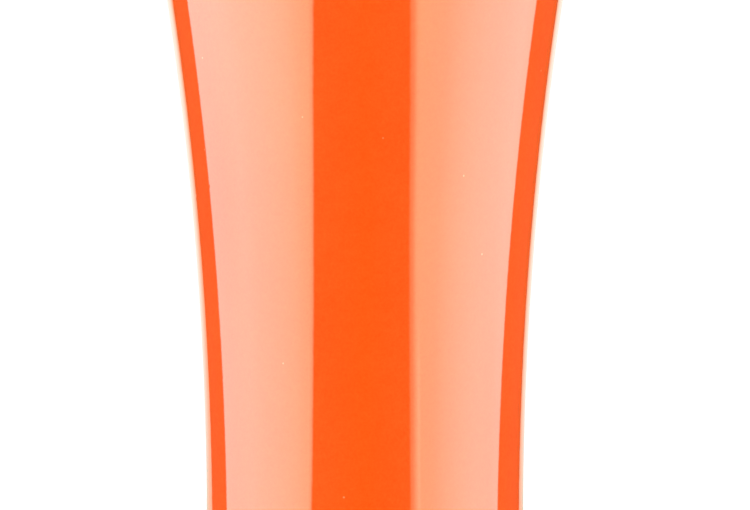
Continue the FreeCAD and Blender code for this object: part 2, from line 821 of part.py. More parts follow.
# -------------------------------------------------------------------- ferrule
# Drawn cup over the handle's tenon, with one rolled bead.
b = new_body("FerruleBody")
FF, FB = "Dims.ferrule_front", FERRULE_BACK
FO = "(Dims.tenon_radius + Dims.ferrule_wall)"
FI = "Dims.tenon_radius"
FC, FW = "Dims.ferrule_corner", "Dims.ferrule_wall"
BY = "(" + FB + " - 5.5)"
BEAD_R = "((Dims.bead_half ^ 2 + Dims.bead_height ^ 2) / (2 * Dims.bead_height))"
sk = new_sketch(b, "FerruleProfile", "XY_Plane")
outline(
    sk,
    [
        ("Dims.ferrule_front_hole", FF),
        (FO + " - " + FC, FF),
        (FO, FF + " + " + FC),
        (FO, BY + " - Dims.bead_half"),
        (FO, BY + " + Dims.bead_half"),
        (FO, FB + " - 0.3"),
        (FO + " - 0.3", FB),
        (FI, FB),
        (FI, FF + " + " + FC),
        (FO + " - " + FC, FF + " + " + FW),
        ("Dims.ferrule_front_hole", FF + " + " + FW),
    ],
    arcs={1: (FC, 1), 3: (BEAD_R, 1), 5: ("0.3", 1), 8: (FC + " - " + FW, -1)},
)
revolve(b, sk, "Y_Axis")
PY = "(" + FF + " + 9)"
sk = new_sketch(b, "FerrulePinHoles", "YZ_Plane")
circle(sk, PY, "0", "Dims.pin_radius")
pocket(b, sk, "40", symmetric=True)
node(b, "ferrule")

# Two short brads hold the ferrule to the tenon.
PIN_HEAD = "((Dims.pin_head_radius ^ 2 + Dims.pin_head_height ^ 2) / (2 * Dims.pin_head_height))"
SEAT = "sqrt((" + FO + ") ^ 2 - Dims.pin_radius ^ 2)"
pins = []
for k, sx in enumerate((1, -1)):
    shank = prim("Part::Cylinder", "PinShank%d" % k, Radius="Dims.pin_radius", Height="Dims.pin_length")
    shank.Placement = Placement(Vector(sx * (num(FO) + 0.05 - num("Dims.pin_length")), num(PY), 0), Rotation(Vector(0, 1, 0), 90 * sx))
    cap = prim("Part::Sphere", "PinHead%d" % k, Radius=PIN_HEAD)
    cap.Angle1 = num("asin((" + PIN_HEAD + " - Dims.pin_head_height) / " + PIN_HEAD + ")")
    cap.setExpression("Angle1", "asin((" + PIN_HEAD + " - Dims.pin_head_height) / " + PIN_HEAD + ")")
    cap.Angle2 = 90
    lift = num(PIN_HEAD + " - Dims.pin_head_height")
    cap.Placement = Placement(Vector(sx * (num(FO) + 0.02 - lift), num(PY), 0), Rotation(Vector(0, 1, 0), 90 * sx))
    pins.append(boolean("Part::Fuse", "Pin%d" % k, shank, cap))
group = doc.addObject("Part::Compound", "FerrulePins")
group.Links = pins
doc.recompute()
node(group, "ferrule_pins")

# --------------------------------------------------------------------- handle
# Turned handle: tenon, rounded shoulder, long hollow waist, palm swell, round
# butt. Every join between the curves is tangent.
b = new_body("HandleBody")
TY = FF + " + " + FW
sk = new_sketch(b, "HandleProfile", "XY_Plane")
outline(
    sk,
    [
        ("0", TY),
        ("Dims.tenon_radius - Dims.tenon_chamfer", TY),
        ("Dims.tenon_radius", TY + " + Dims.tenon_chamfer"),
        ("Dims.tenon_radius", TENON_Y),
        (SHOULDER_R, SHOULDER_Y),
        (TURN_R, TURN_Y),
        ("Dims.swell_radius", SWELL_Y),
        (JOIN_R, JOIN_Y),
        ("0", HANDLE_END),
    ],
    arcs={
        3: ("Dims.shoulder_round", -1),
        4: ("Dims.waist_sweep", -1),
        5: (SWELL_SWEEP, 1),
        6: ("Dims.back_sweep", 1),
        7: ("Dims.butt_round", 1),
    },
)
revolve(b, sk, "Y_Axis")
# stepped bore for the insert and the shank
sk = new_sketch(b, "HandleBore", "XY_Plane")
outline(
    sk,
    [
        ("0", TY + " - 1"),
        ("Dims.insert_radius", TY + " - 1"),
        ("Dims.insert_radius", TY + " + Dims.insert_length"),
        ("Dims.tang_bore_radius", TY + " + Dims.insert_length"),
        ("Dims.tang_bore_radius", "Dims.tang_bore_end"),
        ("0", "Dims.tang_bore_end + Dims.tang_bore_radius * tan(31)"),
    ],
)
groove(b, sk, "Y_Axis")
sk = new_sketch(b, "HandlePinHoles", "YZ_Plane")
circle(sk, PY, "0", "Dims.pin_radius")
pocket(b, sk, "40", symmetric=True)
sk = new_sketch(b, "HangHole", "XY_Plane")
circle(sk, "0", HANG_Y, "Dims.hang_radius")
pocket(b, sk, "60", symmetric=True)
hy, hr = num(HANG_Y), num("Dims.hang_radius")
fillet(
    b,
    edges_where(
        b,
        lambda e, p, m: abs(math.hypot(m.x, m.y - hy) - hr) < 1e-3
        and abs(m.z) > 3
        and abs(p[0].z - p[-1].z) < 4
        and abs(m.z - p[0].z) < 4,
    ),
    "Dims.hang_round",
)
node(b, "handle")

# Brass insert in the tenon that the shank screws into.
b = new_body("InsertBody")
sk = new_sketch(b, "InsertProfile", "XY_Plane")
outline(
    sk,
    [
        (TR, TY + " + 0.2"),
        ("Dims.insert_radius", TY + " + 0.2"),
        ("Dims.insert_radius", TY + " + Dims.insert_length"),
        (TR, TY + " + Dims.insert_length"),
    ],
)
revolve(b, sk, "Y_Axis")
node(b, "threaded_insert")

# ---------------------------------------------------------------- write parts
doc.recompute()
for o in doc.Objects:
    if "Invalid" in o.State or "Error" in o.State:
        raise RuntimeError("%s is in state %s" % (o.Name, o.State))
labels = [o.Label for o in nodes]
if len(set(labels)) != len(labels):
    raise RuntimeError("two sub-parts share a name")
os.makedirs("parts", exist_ok=True)
for o in nodes:
    s = o.Shape
    if s.isNull() or not s.isValid() or not s.Solids:
        raise RuntimeError(o.Label + " has no valid solid")
for o in nodes:
    o.Shape.exportStep(os.path.join("parts", o.Label + ".step"))
    print("%-22s solids %d  volume %10.1f mm3" % (o.Label, len(o.Shape.Solids), o.Shape.Volume))
for k in ("axle_height", "origin_back"):
    print(k, round(num("Dims." + k), 4))
for k, e in (("waist", WAIST_Y), ("swell", SWELL_Y), ("handle_end", HANDLE_END), ("hang", HANG_Y), ("swell_sweep", SWELL_SWEEP)):
    print(k, round(num(e), 4))
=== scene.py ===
import json
import math

import bmesh
import bpy
from mathutils import Matrix, Vector


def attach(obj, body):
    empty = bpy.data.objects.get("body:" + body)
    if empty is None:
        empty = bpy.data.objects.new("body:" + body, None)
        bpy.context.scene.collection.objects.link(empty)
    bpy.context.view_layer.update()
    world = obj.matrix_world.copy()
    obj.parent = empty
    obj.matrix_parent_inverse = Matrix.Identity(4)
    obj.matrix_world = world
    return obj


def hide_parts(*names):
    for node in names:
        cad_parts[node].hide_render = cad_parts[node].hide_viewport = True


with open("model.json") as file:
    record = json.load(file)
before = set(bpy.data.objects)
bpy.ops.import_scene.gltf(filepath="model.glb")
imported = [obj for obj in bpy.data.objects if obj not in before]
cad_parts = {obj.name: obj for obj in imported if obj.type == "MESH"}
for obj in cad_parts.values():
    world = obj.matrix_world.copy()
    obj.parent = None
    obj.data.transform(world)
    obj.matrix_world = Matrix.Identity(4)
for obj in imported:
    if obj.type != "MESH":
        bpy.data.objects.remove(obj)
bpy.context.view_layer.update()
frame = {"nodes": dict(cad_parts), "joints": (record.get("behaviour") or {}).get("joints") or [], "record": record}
RECORD = frame["record"]

# ------------------------------------------------------------------ own frame
# The brayer's own frame: origin on the roller's axle, y along the shank and
# handle, z square to both. At rest it is turned about X, as the hanging hole's
# axis says, and stands where the roller's joint is.
AXLE = Vector(next(j for j in frame["joints"] if j["name"] == "roller_spin")["pos_m"])
UP = Vector(next(m for m in RECORD["mounts"] if m["name"] == "hanging_hole")["axis"]).normalized()
TILT = math.atan2(UP.y, UP.z)
REST = Matrix.Translation(AXLE) @ Matrix.Rotation(-TILT, 4, "X")
MM = 0.001


def at(x, y, z):
    """A point of the brayer's own frame, in mm, as a rest-frame point in metres."""
    return REST @ Vector((x * MM, y * MM, z * MM))


# ------------------------------------------------------------------ node tools
class Nodes:
    """A small helper that adds nodes to a tree and links them."""

    def __init__(self, tree):
        self.t = tree

    def add(self, kind, values=None, props=None, **links):
        n = self.t.nodes.new(kind)
        for k, v in (props or {}).items():
            setattr(n, k, v)
        for k, v in (values or {}).items():
            n.inputs[k].default_value = v
        for k, v in links.items():
            self.t.links.new(v, n.inputs[k.replace("_", " ")])
        return n

    def put(self, source, socket):
        self.t.links.new(source, socket)

    def math(self, op, a, b=None, c=None, clamp=False):
        n = self.t.nodes.new("ShaderNodeMath")
        n.operation = op
        n.use_clamp = clamp
        for i, v in enumerate((a, b, c)):
            if v is None:
                continue
            if isinstance(v, (int, float)):
                n.inputs[i].default_value = v
            else:
                self.t.links.new(v, n.inputs[i])
        return n.outputs[0]

    def vmath(self, op, a, b=None, out=0):
        n = self.t.nodes.new("ShaderNodeVectorMath")
        n.operation = op
        for i, v in enumerate((a, b)):
            if v is None:
                continue
            if isinstance(v, (tuple, list, Vector)):
                n.inputs[i].default_value = tuple(v)
            else:
                self.t.links.new(v, n.inputs[i])
        return n.outputs[out]

    def dot(self, a, b):
        return self.vmath("DOT_PRODUCT", a, b, out="Value")

    def step(self, value, lo, hi):
        """Smooth 0 to 1 as value goes from lo to hi; lo and hi are numbers or sockets."""
        n = self.t.nodes.new("ShaderNodeMapRange")
        n.interpolation_type = "SMOOTHSTEP"
        n.clamp = True
        for k, v in (("Value", value), ("From Min", lo), ("From Max", hi)):
            if isinstance(v, (int, float)):
                n.inputs[k].default_value = v
            else:
                self.t.links.new(v, n.inputs[k])
        return n.outputs[0]

    def curve(self, value, points):
        """A piecewise linear function of value, through points (x, y)."""
        out = None
        for (x0, y0), (x1, y1) in zip(points, points[1:]):
            n = self.t.nodes.new("ShaderNodeMapRange")
            n.clamp = True
            self.t.links.new(value, n.inputs["Value"])
            n.inputs["From Min"].default_value = x0
            n.inputs["From Max"].default_value = x1
            n.inputs["To Min"].default_value = 0.0
            n.inputs["To Max"].default_value = y1 - y0
            out = n.outputs[0] if out is None else self.math("ADD", out, n.outputs[0])
        return self.math("ADD", out, points[0][1])


def new_material(name):
    m = bpy.data.materials.new(name)
    m.use_nodes = True
    t = m.node_tree
    t.nodes.clear()
    k = Nodes(t)
    out = t.nodes.new("ShaderNodeOutputMaterial")
    bsdf = t.nodes.new("ShaderNodeBsdfPrincipled")
    t.links.new(bsdf.outputs[0], out.inputs["Surface"])
    return m, k, bsdf


def own_coords(k):
    """Object coordinates turned into the brayer's own frame, in mm."""
    tc = k.add("ShaderNodeTexCoord")
    mp = k.add("ShaderNodeMapping", props={"vector_type": "POINT"})
    k.put(k.vmath("SUBTRACT", tc.outputs["Object"], tuple(AXLE)), mp.inputs["Vector"])
    mp.inputs["Rotation"].default_value = (TILT, 0, 0)
    mp.inputs["Scale"].default_value = (1000, 1000, 1000)
    return mp.outputs[0]


def turned_coords(k, axis, centre=(0, 0, 0)):
    """(along, radius, 0) in mm about an axis of the own frame: the pattern a lathe tool leaves."""
    co = k.vmath("SUBTRACT", own_coords(k), centre)
    sep = k.add("ShaderNodeSeparateXYZ", Vector=co)
    along, u, w = {"X": (0, 1, 2), "Y": (1, 0, 2)}[axis]
    u2 = k.math("MULTIPLY", sep.outputs[u], sep.outputs[u])
    w2 = k.math("MULTIPLY", sep.outputs[w], sep.outputs[w])
    r = k.math("SQRT", k.math("ADD", u2, w2))
    slow = k.math("MULTIPLY", sep.outputs[w], 0.004)
    return k.add("ShaderNodeCombineXYZ", X=sep.outputs[along], Y=r, Z=slow).outputs[0]


# ------------------------------------------------------------------ mesh tools
def mesh_object(name, verts, faces, smooth=True):
    me = bpy.data.meshes.new(name)
    me.from_pydata([tuple(v) for v in verts], [], faces)
    me.update()
    ob = bpy.data.objects.new(name, me)
    bpy.context.scene.collection.objects.link(ob)
    if smooth:
        me.polygons.foreach_set("use_smooth", [True] * len(me.polygons))
    return ob


def arc(p0, p1, r, side, n):
    """Points of an arc from p0 to p1, without p0; side 1 has its centre left of travel."""
    (x0, y0), (x1, y1) = p0, p1
    dx, dy = x1 - x0, y1 - y0
    c = math.hypot(dx, dy)
    lift = math.sqrt(max(r * r - c * c / 4, 0.0))
    cx, cy = (x0 + x1) / 2 - side * dy / c * lift, (y0 + y1) / 2 + side * dx / c * lift
    a0, a1 = math.atan2(y0 - cy, x0 - cx), math.atan2(y1 - cy, x1 - cx)
    if side > 0:
        while a1 < a0:
            a1 += 2 * math.pi
    else:
        while a1 > a0:
            a1 -= 2 * math.pi
    return [
        (cx + r * math.cos(a0 + (a1 - a0) * i / n), cy + r * math.sin(a0 + (a1 - a0) * i / n))
        for i in range(1, n + 1)
    ]


def seg(p0, p1, n):
    return [(p0[0] + (p1[0] - p0[0]) * i / n, p0[1] + (p1[1] - p0[1]) * i / n) for i in range(1, n + 1)]


# ------------------------------------------------------------ handle's profile
FERRULE_FRONT, FERRULE_LEN, FERRULE_WALL = 61.0, 22.0, 0.8
FERRULE_BACK = FERRULE_FRONT + FERRULE_LEN
WAIST_R, SWEEP, SHOULDER_RUN, WAIST_RUN = 10.0, 221.0, 26.0, 38.0
Q, TENON_R, TENON_CH = 1.8, 10.0, 3.5
SWELL_R, BACK, BUTT = 15.2, 34.0, 9.0
INSERT_R, INSERT_L, BORE_R, BORE_END = 6.0, 18.0, 4.2, 109.0
psi_f = math.asin(SHOULDER_RUN / SWEEP)
psi_b = math.asin(WAIST_RUN / SWEEP)
SHOULDER_Y = FERRULE_BACK + Q * (1 + math.sin(psi_f))
SHOULDER_R = WAIST_R + SWEEP - math.sqrt(SWEEP**2 - SHOULDER_RUN**2)
WAIST_Y = SHOULDER_Y + SHOULDER_RUN
TURN_R = WAIST_R + SWEEP - math.sqrt(SWEEP**2 - WAIST_RUN**2)
TURN_Y = WAIST_Y + WAIST_RUN
SWELL_SWEEP = (SWELL_R - TURN_R) / (1 - math.cos(psi_b))
SWELL_Y = TURN_Y + SWELL_SWEEP * WAIST_RUN / SWEEP
DROP = BACK - SWELL_R
BUTT_RUN = math.sqrt((BACK - BUTT) ** 2 - DROP**2)
BUTT_Y = SWELL_Y + BUTT_RUN
JOIN_Y = BUTT_Y + BUTT * BUTT_RUN / (BACK - BUTT)
JOIN_R = BUTT * DROP / (BACK - BUTT)
HANDLE_END = BUTT_Y + BUTT
ROUND_CY = FERRULE_BACK + Q
ROUND_CR = SHOULDER_R - Q * math.cos(psi_f)
TENON_Y = ROUND_CY - math.sqrt(Q**2 - (TENON_R - ROUND_CR) ** 2)
HANG_Y, HANG_R, HANG_ROUND = HANDLE_END - 12.5, 2.75, 1.0
TENON_FRONT = FERRULE_FRONT + FERRULE_WALL


def handle_radius(y):
    """Outside radius and slope dr/dy of the handle behind its shoulder round."""
    if y <= TURN_Y:
        s = math.sqrt(SWEEP**2 - (y - WAIST_Y) ** 2)
        return WAIST_R + SWEEP - s, (y - WAIST_Y) / s
    if y <= SWELL_Y:
        s = math.sqrt(SWELL_SWEEP**2 - (y - SWELL_Y) ** 2)
        return SWELL_R - SWELL_SWEEP + s, -(y - SWELL_Y) / s
    if y <= JOIN_Y:
        s = math.sqrt(BACK**2 - (y - SWELL_Y) ** 2)
        return -DROP + s, -(y - SWELL_Y) / s
    s = math.sqrt(max(BUTT**2 - (y - BUTT_Y) ** 2, 1e-9))
    return s, -(y - BUTT_Y) / s


def lathe(name, profile, axis="Y", segments=128, closed_ends=(True, True), close_loop=False):
    """A surface of revolution in the brayer's own frame. profile is a list of (radius, along)
    in mm; radius 0 at an end makes a pole."""
    verts, rings = [], []
    for r, a in profile:
        if r < 1e-9:
            rings.append([len(verts)])
            verts.append((0.0, a, 0.0) if axis == "Y" else (a, 0.0, 0.0))
            continue
        ids = []
        for i in range(segments):
            t = 2 * math.pi * i / segments
            c, s = r * math.cos(t), r * math.sin(t)
            ids.append(len(verts))
            verts.append((s, a, c) if axis == "Y" else (a, s, c))
        rings.append(ids)
    faces = []
    pairs = list(zip(rings, rings[1:]))
    if close_loop:
        pairs.append((rings[-1], rings[0]))
    for p, q in pairs:
        if len(p) == 1 and len(q) == 1:
            continue
        for i in range(segments):
            j = (i + 1) % segments
            if len(p) == 1:
                f = (p[0], q[j], q[i])
            elif len(q) == 1:
                f = (p[i], p[j], q[0])
            else:
                f = (p[i], p[j], q[j], q[i])
            faces.append(f if axis == "Y" else tuple(reversed(f)))
    ob = mesh_object(name, [at(*v) for v in verts], faces)
    return ob


def shell(name, rings, axis="Y", centre=(0.0, 0.0, 0.0), close_loop=False):
    """A skin over rings of (angle, radius, along); a ring of one point is a pole. Angle 0 is +z."""
    verts, ids = [], []
    for ring in rings:
        row = []
        for t, r, a in ring:
            s, c = r * math.sin(t), r * math.cos(t)
            p = (s, a, c) if axis == "Y" else (a, s, c)
            row.append(len(verts))
            verts.append(tuple(p[i] + centre[i] for i in range(3)))
        ids.append(row)
    pairs = list(zip(ids, ids[1:]))
    if close_loop:
        pairs.append((ids[-1], ids[0]))
    faces = []
    for p, q in pairs:
        n = max(len(p), len(q))
        for i in range(n):
            j = (i + 1) % n
            if len(p) == 1:
                faces.append((p[0], q[j], q[i]))
            elif len(q) == 1:
                faces.append((p[i], p[j], q[0]))
            else:
                faces.append((p[i], p[j], q[j], q[i]))
    ob = mesh_object(name, [at(*v) for v in verts], faces)
    fix_normals(ob)
    return ob


def hex_angles(flats, corner, n_flat=16, n_corner=4):
    """Angles and radii round a hexagon with its corners rounded by `corner`; flats square to z."""
    a = flats / 2
    reach = math.atan((a - corner) * math.tan(math.radians(30)) / a)
    c = (a - corner) / math.cos(math.radians(30))
    out = []
    for k in range(6):
        mid = math.radians(60 * k)
        for i in range(n_flat + 1):
            t = -reach + 2 * reach * i / n_flat
            out.append((mid + t, a / math.cos(t)))
        for i in range(1, n_corner):
            d = (math.radians(30) - reach) * (2 * i / n_corner - 1)
            r = c * math.cos(d) + math.sqrt(max(corner**2 - (c * math.sin(d)) ** 2, 0.0))
            out.append((mid + math.radians(30) + d, r))
    return out


def weighted(ob, angle=30.0):
    set_sharp(ob, angle)
    mod = ob.modifiers.new("flat_faces", "WEIGHTED_NORMAL")
    mod.keep_sharp = True
    mod.weight = 80


def fix_normals(ob):
    bm = bmesh.new()
    bm.from_mesh(ob.data)
    bmesh.ops.remove_doubles(bm, verts=bm.verts, dist=1e-7)
    bmesh.ops.recalc_face_normals(bm, faces=bm.faces)
    bm.to_mesh(ob.data)
    bm.free()
    ob.data.update()


def set_sharp(ob, angle=35.0):
    """Smooth faces with hard edges above an angle."""
    ob.data.polygons.foreach_set("use_smooth", [True] * len(ob.data.polygons))
    ob.data.set_sharp_from_angle(angle=math.radians(angle))


# ---------------------------------------------------------------------- handle
def build_handle():
    prof = [(0.0, BORE_END + BORE_R * math.tan(math.radians(31)))]
    prof += seg(prof[-1], (BORE_R, BORE_END), 1)
    prof += seg(prof[-1], (BORE_R, TENON_FRONT + INSERT_L), 1)
    prof += seg(prof[-1], (INSERT_R, TENON_FRONT + INSERT_L), 1)
    prof += seg(prof[-1], (INSERT_R, TENON_FRONT), 1)
    prof += seg(prof[-1], (TENON_R - TENON_CH, TENON_FRONT), 1)
    prof += seg(prof[-1], (TENON_R, TENON_FRONT + TENON_CH), 1)
    prof += seg(prof[-1], (TENON_R, TENON_Y), 2)
    # the shoulder's round, from the tenon out to the hollow curve
    a0 = math.atan2(TENON_R - ROUND_CR, TENON_Y - ROUND_CY)
    a1 = math.atan2(SHOULDER_R - ROUND_CR, SHOULDER_Y - ROUND_CY)
    if a1 > a0:
        a1 -= 2 * math.pi
    for i in range(1, 17):
        a = a0 + (a1 - a0) * i / 16
        prof.append((ROUND_CR + Q * math.sin(a), ROUND_CY + Q * math.cos(a)))
    y = SHOULDER_Y
    while y + 0.45 < JOIN_Y:
        y += 0.45
        prof.append((handle_radius(y)[0], y))
    t0 = math.atan2(JOIN_R, JOIN_Y - BUTT_Y)
    for i in range(0, 40):
        t = t0 * (1 - i / 40)
        prof.append((BUTT * math.sin(t), BUTT_Y + (BUTT - 0.01) * math.cos(t)))
    prof.append((0.0, HANDLE_END - 0.01))
    ob = lathe("handle_lacquered", prof, segments=320)
    fix_normals(ob)
    return ob


def own_normals(ob, normal_of):
    """Sets each vertex's shading normal from the exact surface; normal_of takes and gives
    vectors of the brayer's own frame and may give None to keep the mesh's own normal."""
    inv = REST.inverted()
    rot = REST.to_3x3()
    me = ob.data
    me.polygons.foreach_set("use_smooth", [True] * len(me.polygons))
    normals = []
    for v in me.vertices:
        p = inv @ v.co * 1000
        n = normal_of(p)
        normals.append(v.normal.copy() if n is None else (rot @ Vector(n)).normalized())
    loops = []
    for poly in me.polygons:
        for li in poly.loop_indices:
            n = normals[me.loops[li].vertex_index]
            loops.append(n if n.dot(poly.normal) > 0.35 else poly.normal)
    me.normals_split_custom_set([tuple(n) for n in loops])


def hole_cutter():
    """The hanging hole with its two rounded rims, as a closed cutter through the handle."""
    n, m = 96, 8
    verts, rings = [], []

    def height(x, y):
        r = handle_radius(y)[0]
        return math.sqrt(max(r * r - x * x, 0.01))

    def ring(fn):
        ids = []
        for i in range(n):
            t = 2 * math.pi * (i + 0.37) / n  # clear of the handle's own vertices
            c, s = math.cos(t), math.sin(t)
            ids.append(len(verts))
            verts.append(fn(c, s))
        rings.append(ids)

    for sign in (1, -1):
        levels = []
        levels.append(lambda c, s, g=sign: ((HANG_R + HANG_ROUND + 0.9) * c, HANG_Y + (HANG_R + HANG_ROUND + 0.9) * s, g * 22.0))
        levels.append(
            lambda c, s, g=sign: (
                (HANG_R + HANG_ROUND + 0.9) * c,
                HANG_Y + (HANG_R + HANG_ROUND + 0.9) * s,
                g * (height((HANG_R + HANG_ROUND + 0.9) * c, HANG_Y + (HANG_R + HANG_ROUND + 0.9) * s) + 0.12),
            )
        )
        for j in range(m + 1):
            t = math.radians(4 + 86 * j / m)

            def level(c, s, g=sign, t=t):
                r = HANG_R + HANG_ROUND * (1 - math.sin(t))
                h = height(r * c, HANG_Y + r * s)
                return (r * c, HANG_Y + r * s, g * (h - HANG_ROUND * (1 - math.cos(t))))

            levels.append(level)
        if sign < 0:
            levels.reverse()
        for lv in levels:
            ring(lv)
    faces = []
    for p, q in zip(rings, rings[1:]):
        for i in range(n):
            j = (i + 1) % n
            faces.append((p[i], p[j], q[j], q[i]))
    faces.append(tuple(rings[0]))
    faces.append(tuple(reversed(rings[-1])))
    ob = mesh_object("cutter", [at(*v) for v in verts], faces)
    fix_normals(ob)
    return ob


def handle_normal(p):
    x, y, z = p
    h = math.hypot(x, y - HANG_Y)
    r = math.hypot(x, z)
    if y > SHOULDER_Y and h > HANG_R + 0.02:
        if y >= HANDLE_END - 0.02:
            return (0, 1, 0)
        if r < handle_radius(y)[0] - HANG_ROUND - 0.1 and h > HANG_R + HANG_ROUND + 0.1:
            return None
        _, slope = handle_radius(y)
        n = Vector((x / max(r, 1e-6), -slope, z / max(r, 1e-6))).normalized()
        if h < HANG_R + HANG_ROUND:
            s = 1 - (h - HANG_R) / HANG_ROUND
            c = math.sqrt(max(1 - s * s, 0))
            inward = Vector((-x, -(y - HANG_Y), 0)).normalized()
            return (n * c + inward * s).normalized()
        return n
    if y > SHOULDER_Y and h <= HANG_R + 0.02:
        return Vector((-x, -(y - HANG_Y), 0)).normalized()
    return None


handle = build_handle()
cutter = hole_cutter()
mod = handle.modifiers.new("hole", "BOOLEAN")
mod.operation = "DIFFERENCE"
mod.solver = "EXACT"
mod.object = cutter
bpy.context.view_layer.objects.active = handle
bpy.context.view_layer.update()
dg = bpy.context.evaluated_depsgraph_get()
cut_mesh = bpy.data.meshes.new_from_object(handle.evaluated_get(dg))
handle.modifiers.clear()
handle.data = cut_mesh
bpy.data.objects.remove(cutter)
own_normals(handle, handle_normal)
print("handle faces", len(handle.data.polygons))


# ------------------------------------------------------------------- materials
def lacquer():
    m, k, b = new_material("orange_gloss_lacquer")
    co = own_coords(k)
    # barely visible unevenness of the colour coat
    cloud = k.add("ShaderNodeTexNoise", {"Scale": 0.11, "Detail": 3.0, "Roughness": 0.55}, Vector=co)
    fine = k.add("ShaderNodeTexNoise", {"Scale": 1.9, "Detail": 2.0, "Roughness": 0.6}, Vector=co)
    speck = k.add("ShaderNodeTexNoise", {"Scale": 5.5, "Detail": 2.0, "Roughness": 0.7}, Vector=co)
    mix = k.math("ADD", k.math("MULTIPLY", cloud.outputs[0], 0.35), k.math("MULTIPLY", fine.outputs[0], 0.2))
    mix = k.math("ADD", mix, k.math("MULTIPLY", speck.outputs[0], 0.45))
    ramp = k.add("ShaderNodeValToRGB", Fac=mix)
    ramp.color_ramp.elements[0].position = 0.36
    ramp.color_ramp.elements[0].color = (0.93, 0.0670, 0.0012, 1)
    ramp.color_ramp.elements[1].position = 0.64
    ramp.color_ramp.elements[1].color = (0.96, 0.0905, 0.0060, 1)
    # now and then a light speck of dust in the colour coat
    grit = k.add("ShaderNodeTexVoronoi", {"Scale": 0.8}, {"feature": "F1"}, Vector=co)
    dot = k.math("SUBTRACT", 1.0, k.step(grit.outputs["Distance"], 0.03, 0.075))
    dot = k.math("MULTIPLY", dot, k.math("GREATER_THAN", k.dot(grit.outputs["Color"], (1, 0, 0)), 0.82))
    paint = k.add("ShaderNodeMix", props={"data_type": "RGBA"})
    k.put(dot, paint.inputs[0])
    k.put(ramp.outputs[0], paint.inputs[6])
    paint.inputs[7].default_value = (0.97, 0.24, 0.09, 1)
    k.put(paint.outputs[2], b.inputs["Base Color"])
    b.inputs["IOR"].default_value = 1.6
    b.inputs["Specular Tint"].default_value = (1.0, 0.95, 0.62, 1)
    b.inputs["Coat Weight"].default_value = 1.0
    b.inputs["Coat IOR"].default_value = 1.6
    b.inputs["Coat Roughness"].default_value = 0.015
    rough = k.add("ShaderNodeMapRange", {"From Min": 0.3, "From Max": 0.7, "To Min": 0.012, "To Max": 0.03}, Value=fine.outputs[0])
    k.put(rough.outputs[0], b.inputs["Roughness"])
    # faint orange peel, and here and there a dust nib under the lacquer
    peel = k.add("ShaderNodeTexNoise", {"Scale": 0.9, "Detail": 2.0, "Roughness": 0.5}, Vector=co)
    cell = k.add("ShaderNodeTexVoronoi", {"Scale": 0.42}, {"feature": "F1"}, Vector=co)
    near = k.math("SUBTRACT", 1.0, k.step(cell.outputs["Distance"], 0.02, 0.085))
    few = k.math("GREATER_THAN", k.dot(cell.outputs["Color"], (1, 0, 0)), 0.45)
    nib = k.math("MULTIPLY", near, few)
    height = k.math("ADD", peel.outputs[0], k.math("MULTIPLY", nib, 0.9))
    bump = k.add("ShaderNodeBump", {"Strength": 1.0, "Distance": 0.0000016}, Height=height)
    k.put(bump.outputs[0], b.inputs["Normal"])
    k.put(bump.outputs[0], b.inputs["Coat Normal"])
    return m


handle.data.materials.clear()
handle.data.materials.append(lacquer())
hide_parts("handle")
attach(handle, "frame")


# ------------------------------------------------------------ turned steel parts
TAN30 = math.tan(math.radians(30))
TAU = 2 * math.pi


def build_shank():
    """Threaded tip, hexagonal collar against the stand, plain rod into the handle."""
    flats, back, thick = 13.0, 39.0, 4.0
    hexa = hex_angles(flats, 0.35)
    T = [t for t, _ in hexa]
    tip, end, r0, pitch, depth = 23.4, 106.0, 4.0, 1.25, 0.62

    def thread(t, a):
        f = (a / pitch - t / TAU) % 1.0
        cut = min(max((abs(f - 0.5) * 2 - 0.14) / 0.62, 0.0), 1.0)
        fade = min(max((28.6 - a) / 0.9, 0.0), 1.0)
        lead = 3.1 + (a - tip) / 0.9 * 0.9
        return min(r0 - depth * (1 - cut) * fade, max(lead, 3.1))

    rings = [[(0.0, 0.0, tip)]]
    steps = 64
    for i in range(steps + 1):
        y = tip + (28.8 - tip) * i / steps
        rings.append([(t, thread(t, y), y) for t in T])
    rings.append([(t, r0, back) for t in T])
    lip = flats * 0.475
    rings.append([(t, r, back) for t, r in hexa])
    face = back + thick
    rings.append([(t, r, face - max(r - lip, 0.0) * TAN30) for t, r in hexa])
    rings.append([(t, lip, face) for t in T])
    rings.append([(t, r0 + 0.45, face) for t in T])
    for i in range(1, 5):
        d = math.radians(90 * i / 4)
        rings.append([(t, r0 + 0.45 * (1 - math.sin(d)), face + 0.45 * (1 - math.cos(d))) for t in T])
    rings.append([(t, r0, 52.0) for t in T])
    rings.append([(t, r0, end - 0.8) for t in T])
    rings.append([(t, r0 - 0.8, end) for t in T])
    rings.append([(0.0, 0.0, end)])
    ob = shell("shank_threaded", rings)
    weighted(ob, 24)
    return ob


def build_nut():
    flats, lo, hi, r0 = 13.0, 25.5, 32.0, 4.0
    hexa = hex_angles(flats, 0.3)
    T = [t for t, _ in hexa]
    lip = flats * 0.475
    rings = [
        [(t, lip, lo) for t in T],
        [(t, r, lo + max(r - lip, 0.0) * TAN30) for t, r in hexa],
        [(t, r, hi - max(r - lip, 0.0) * TAN30) for t, r in hexa],
        [(t, lip, hi) for t in T],
        [(t, r0 + 0.5, hi) for t in T],
        [(t, r0, hi - 0.5) for t in T],
        [(t, r0, lo + 0.55) for t in T],
        [(t, r0 + 0.55, lo) for t in T],
    ]
    ob = shell("shank_nut_chamfered", rings, close_loop=True)
    weighted(ob, 24)
    return ob


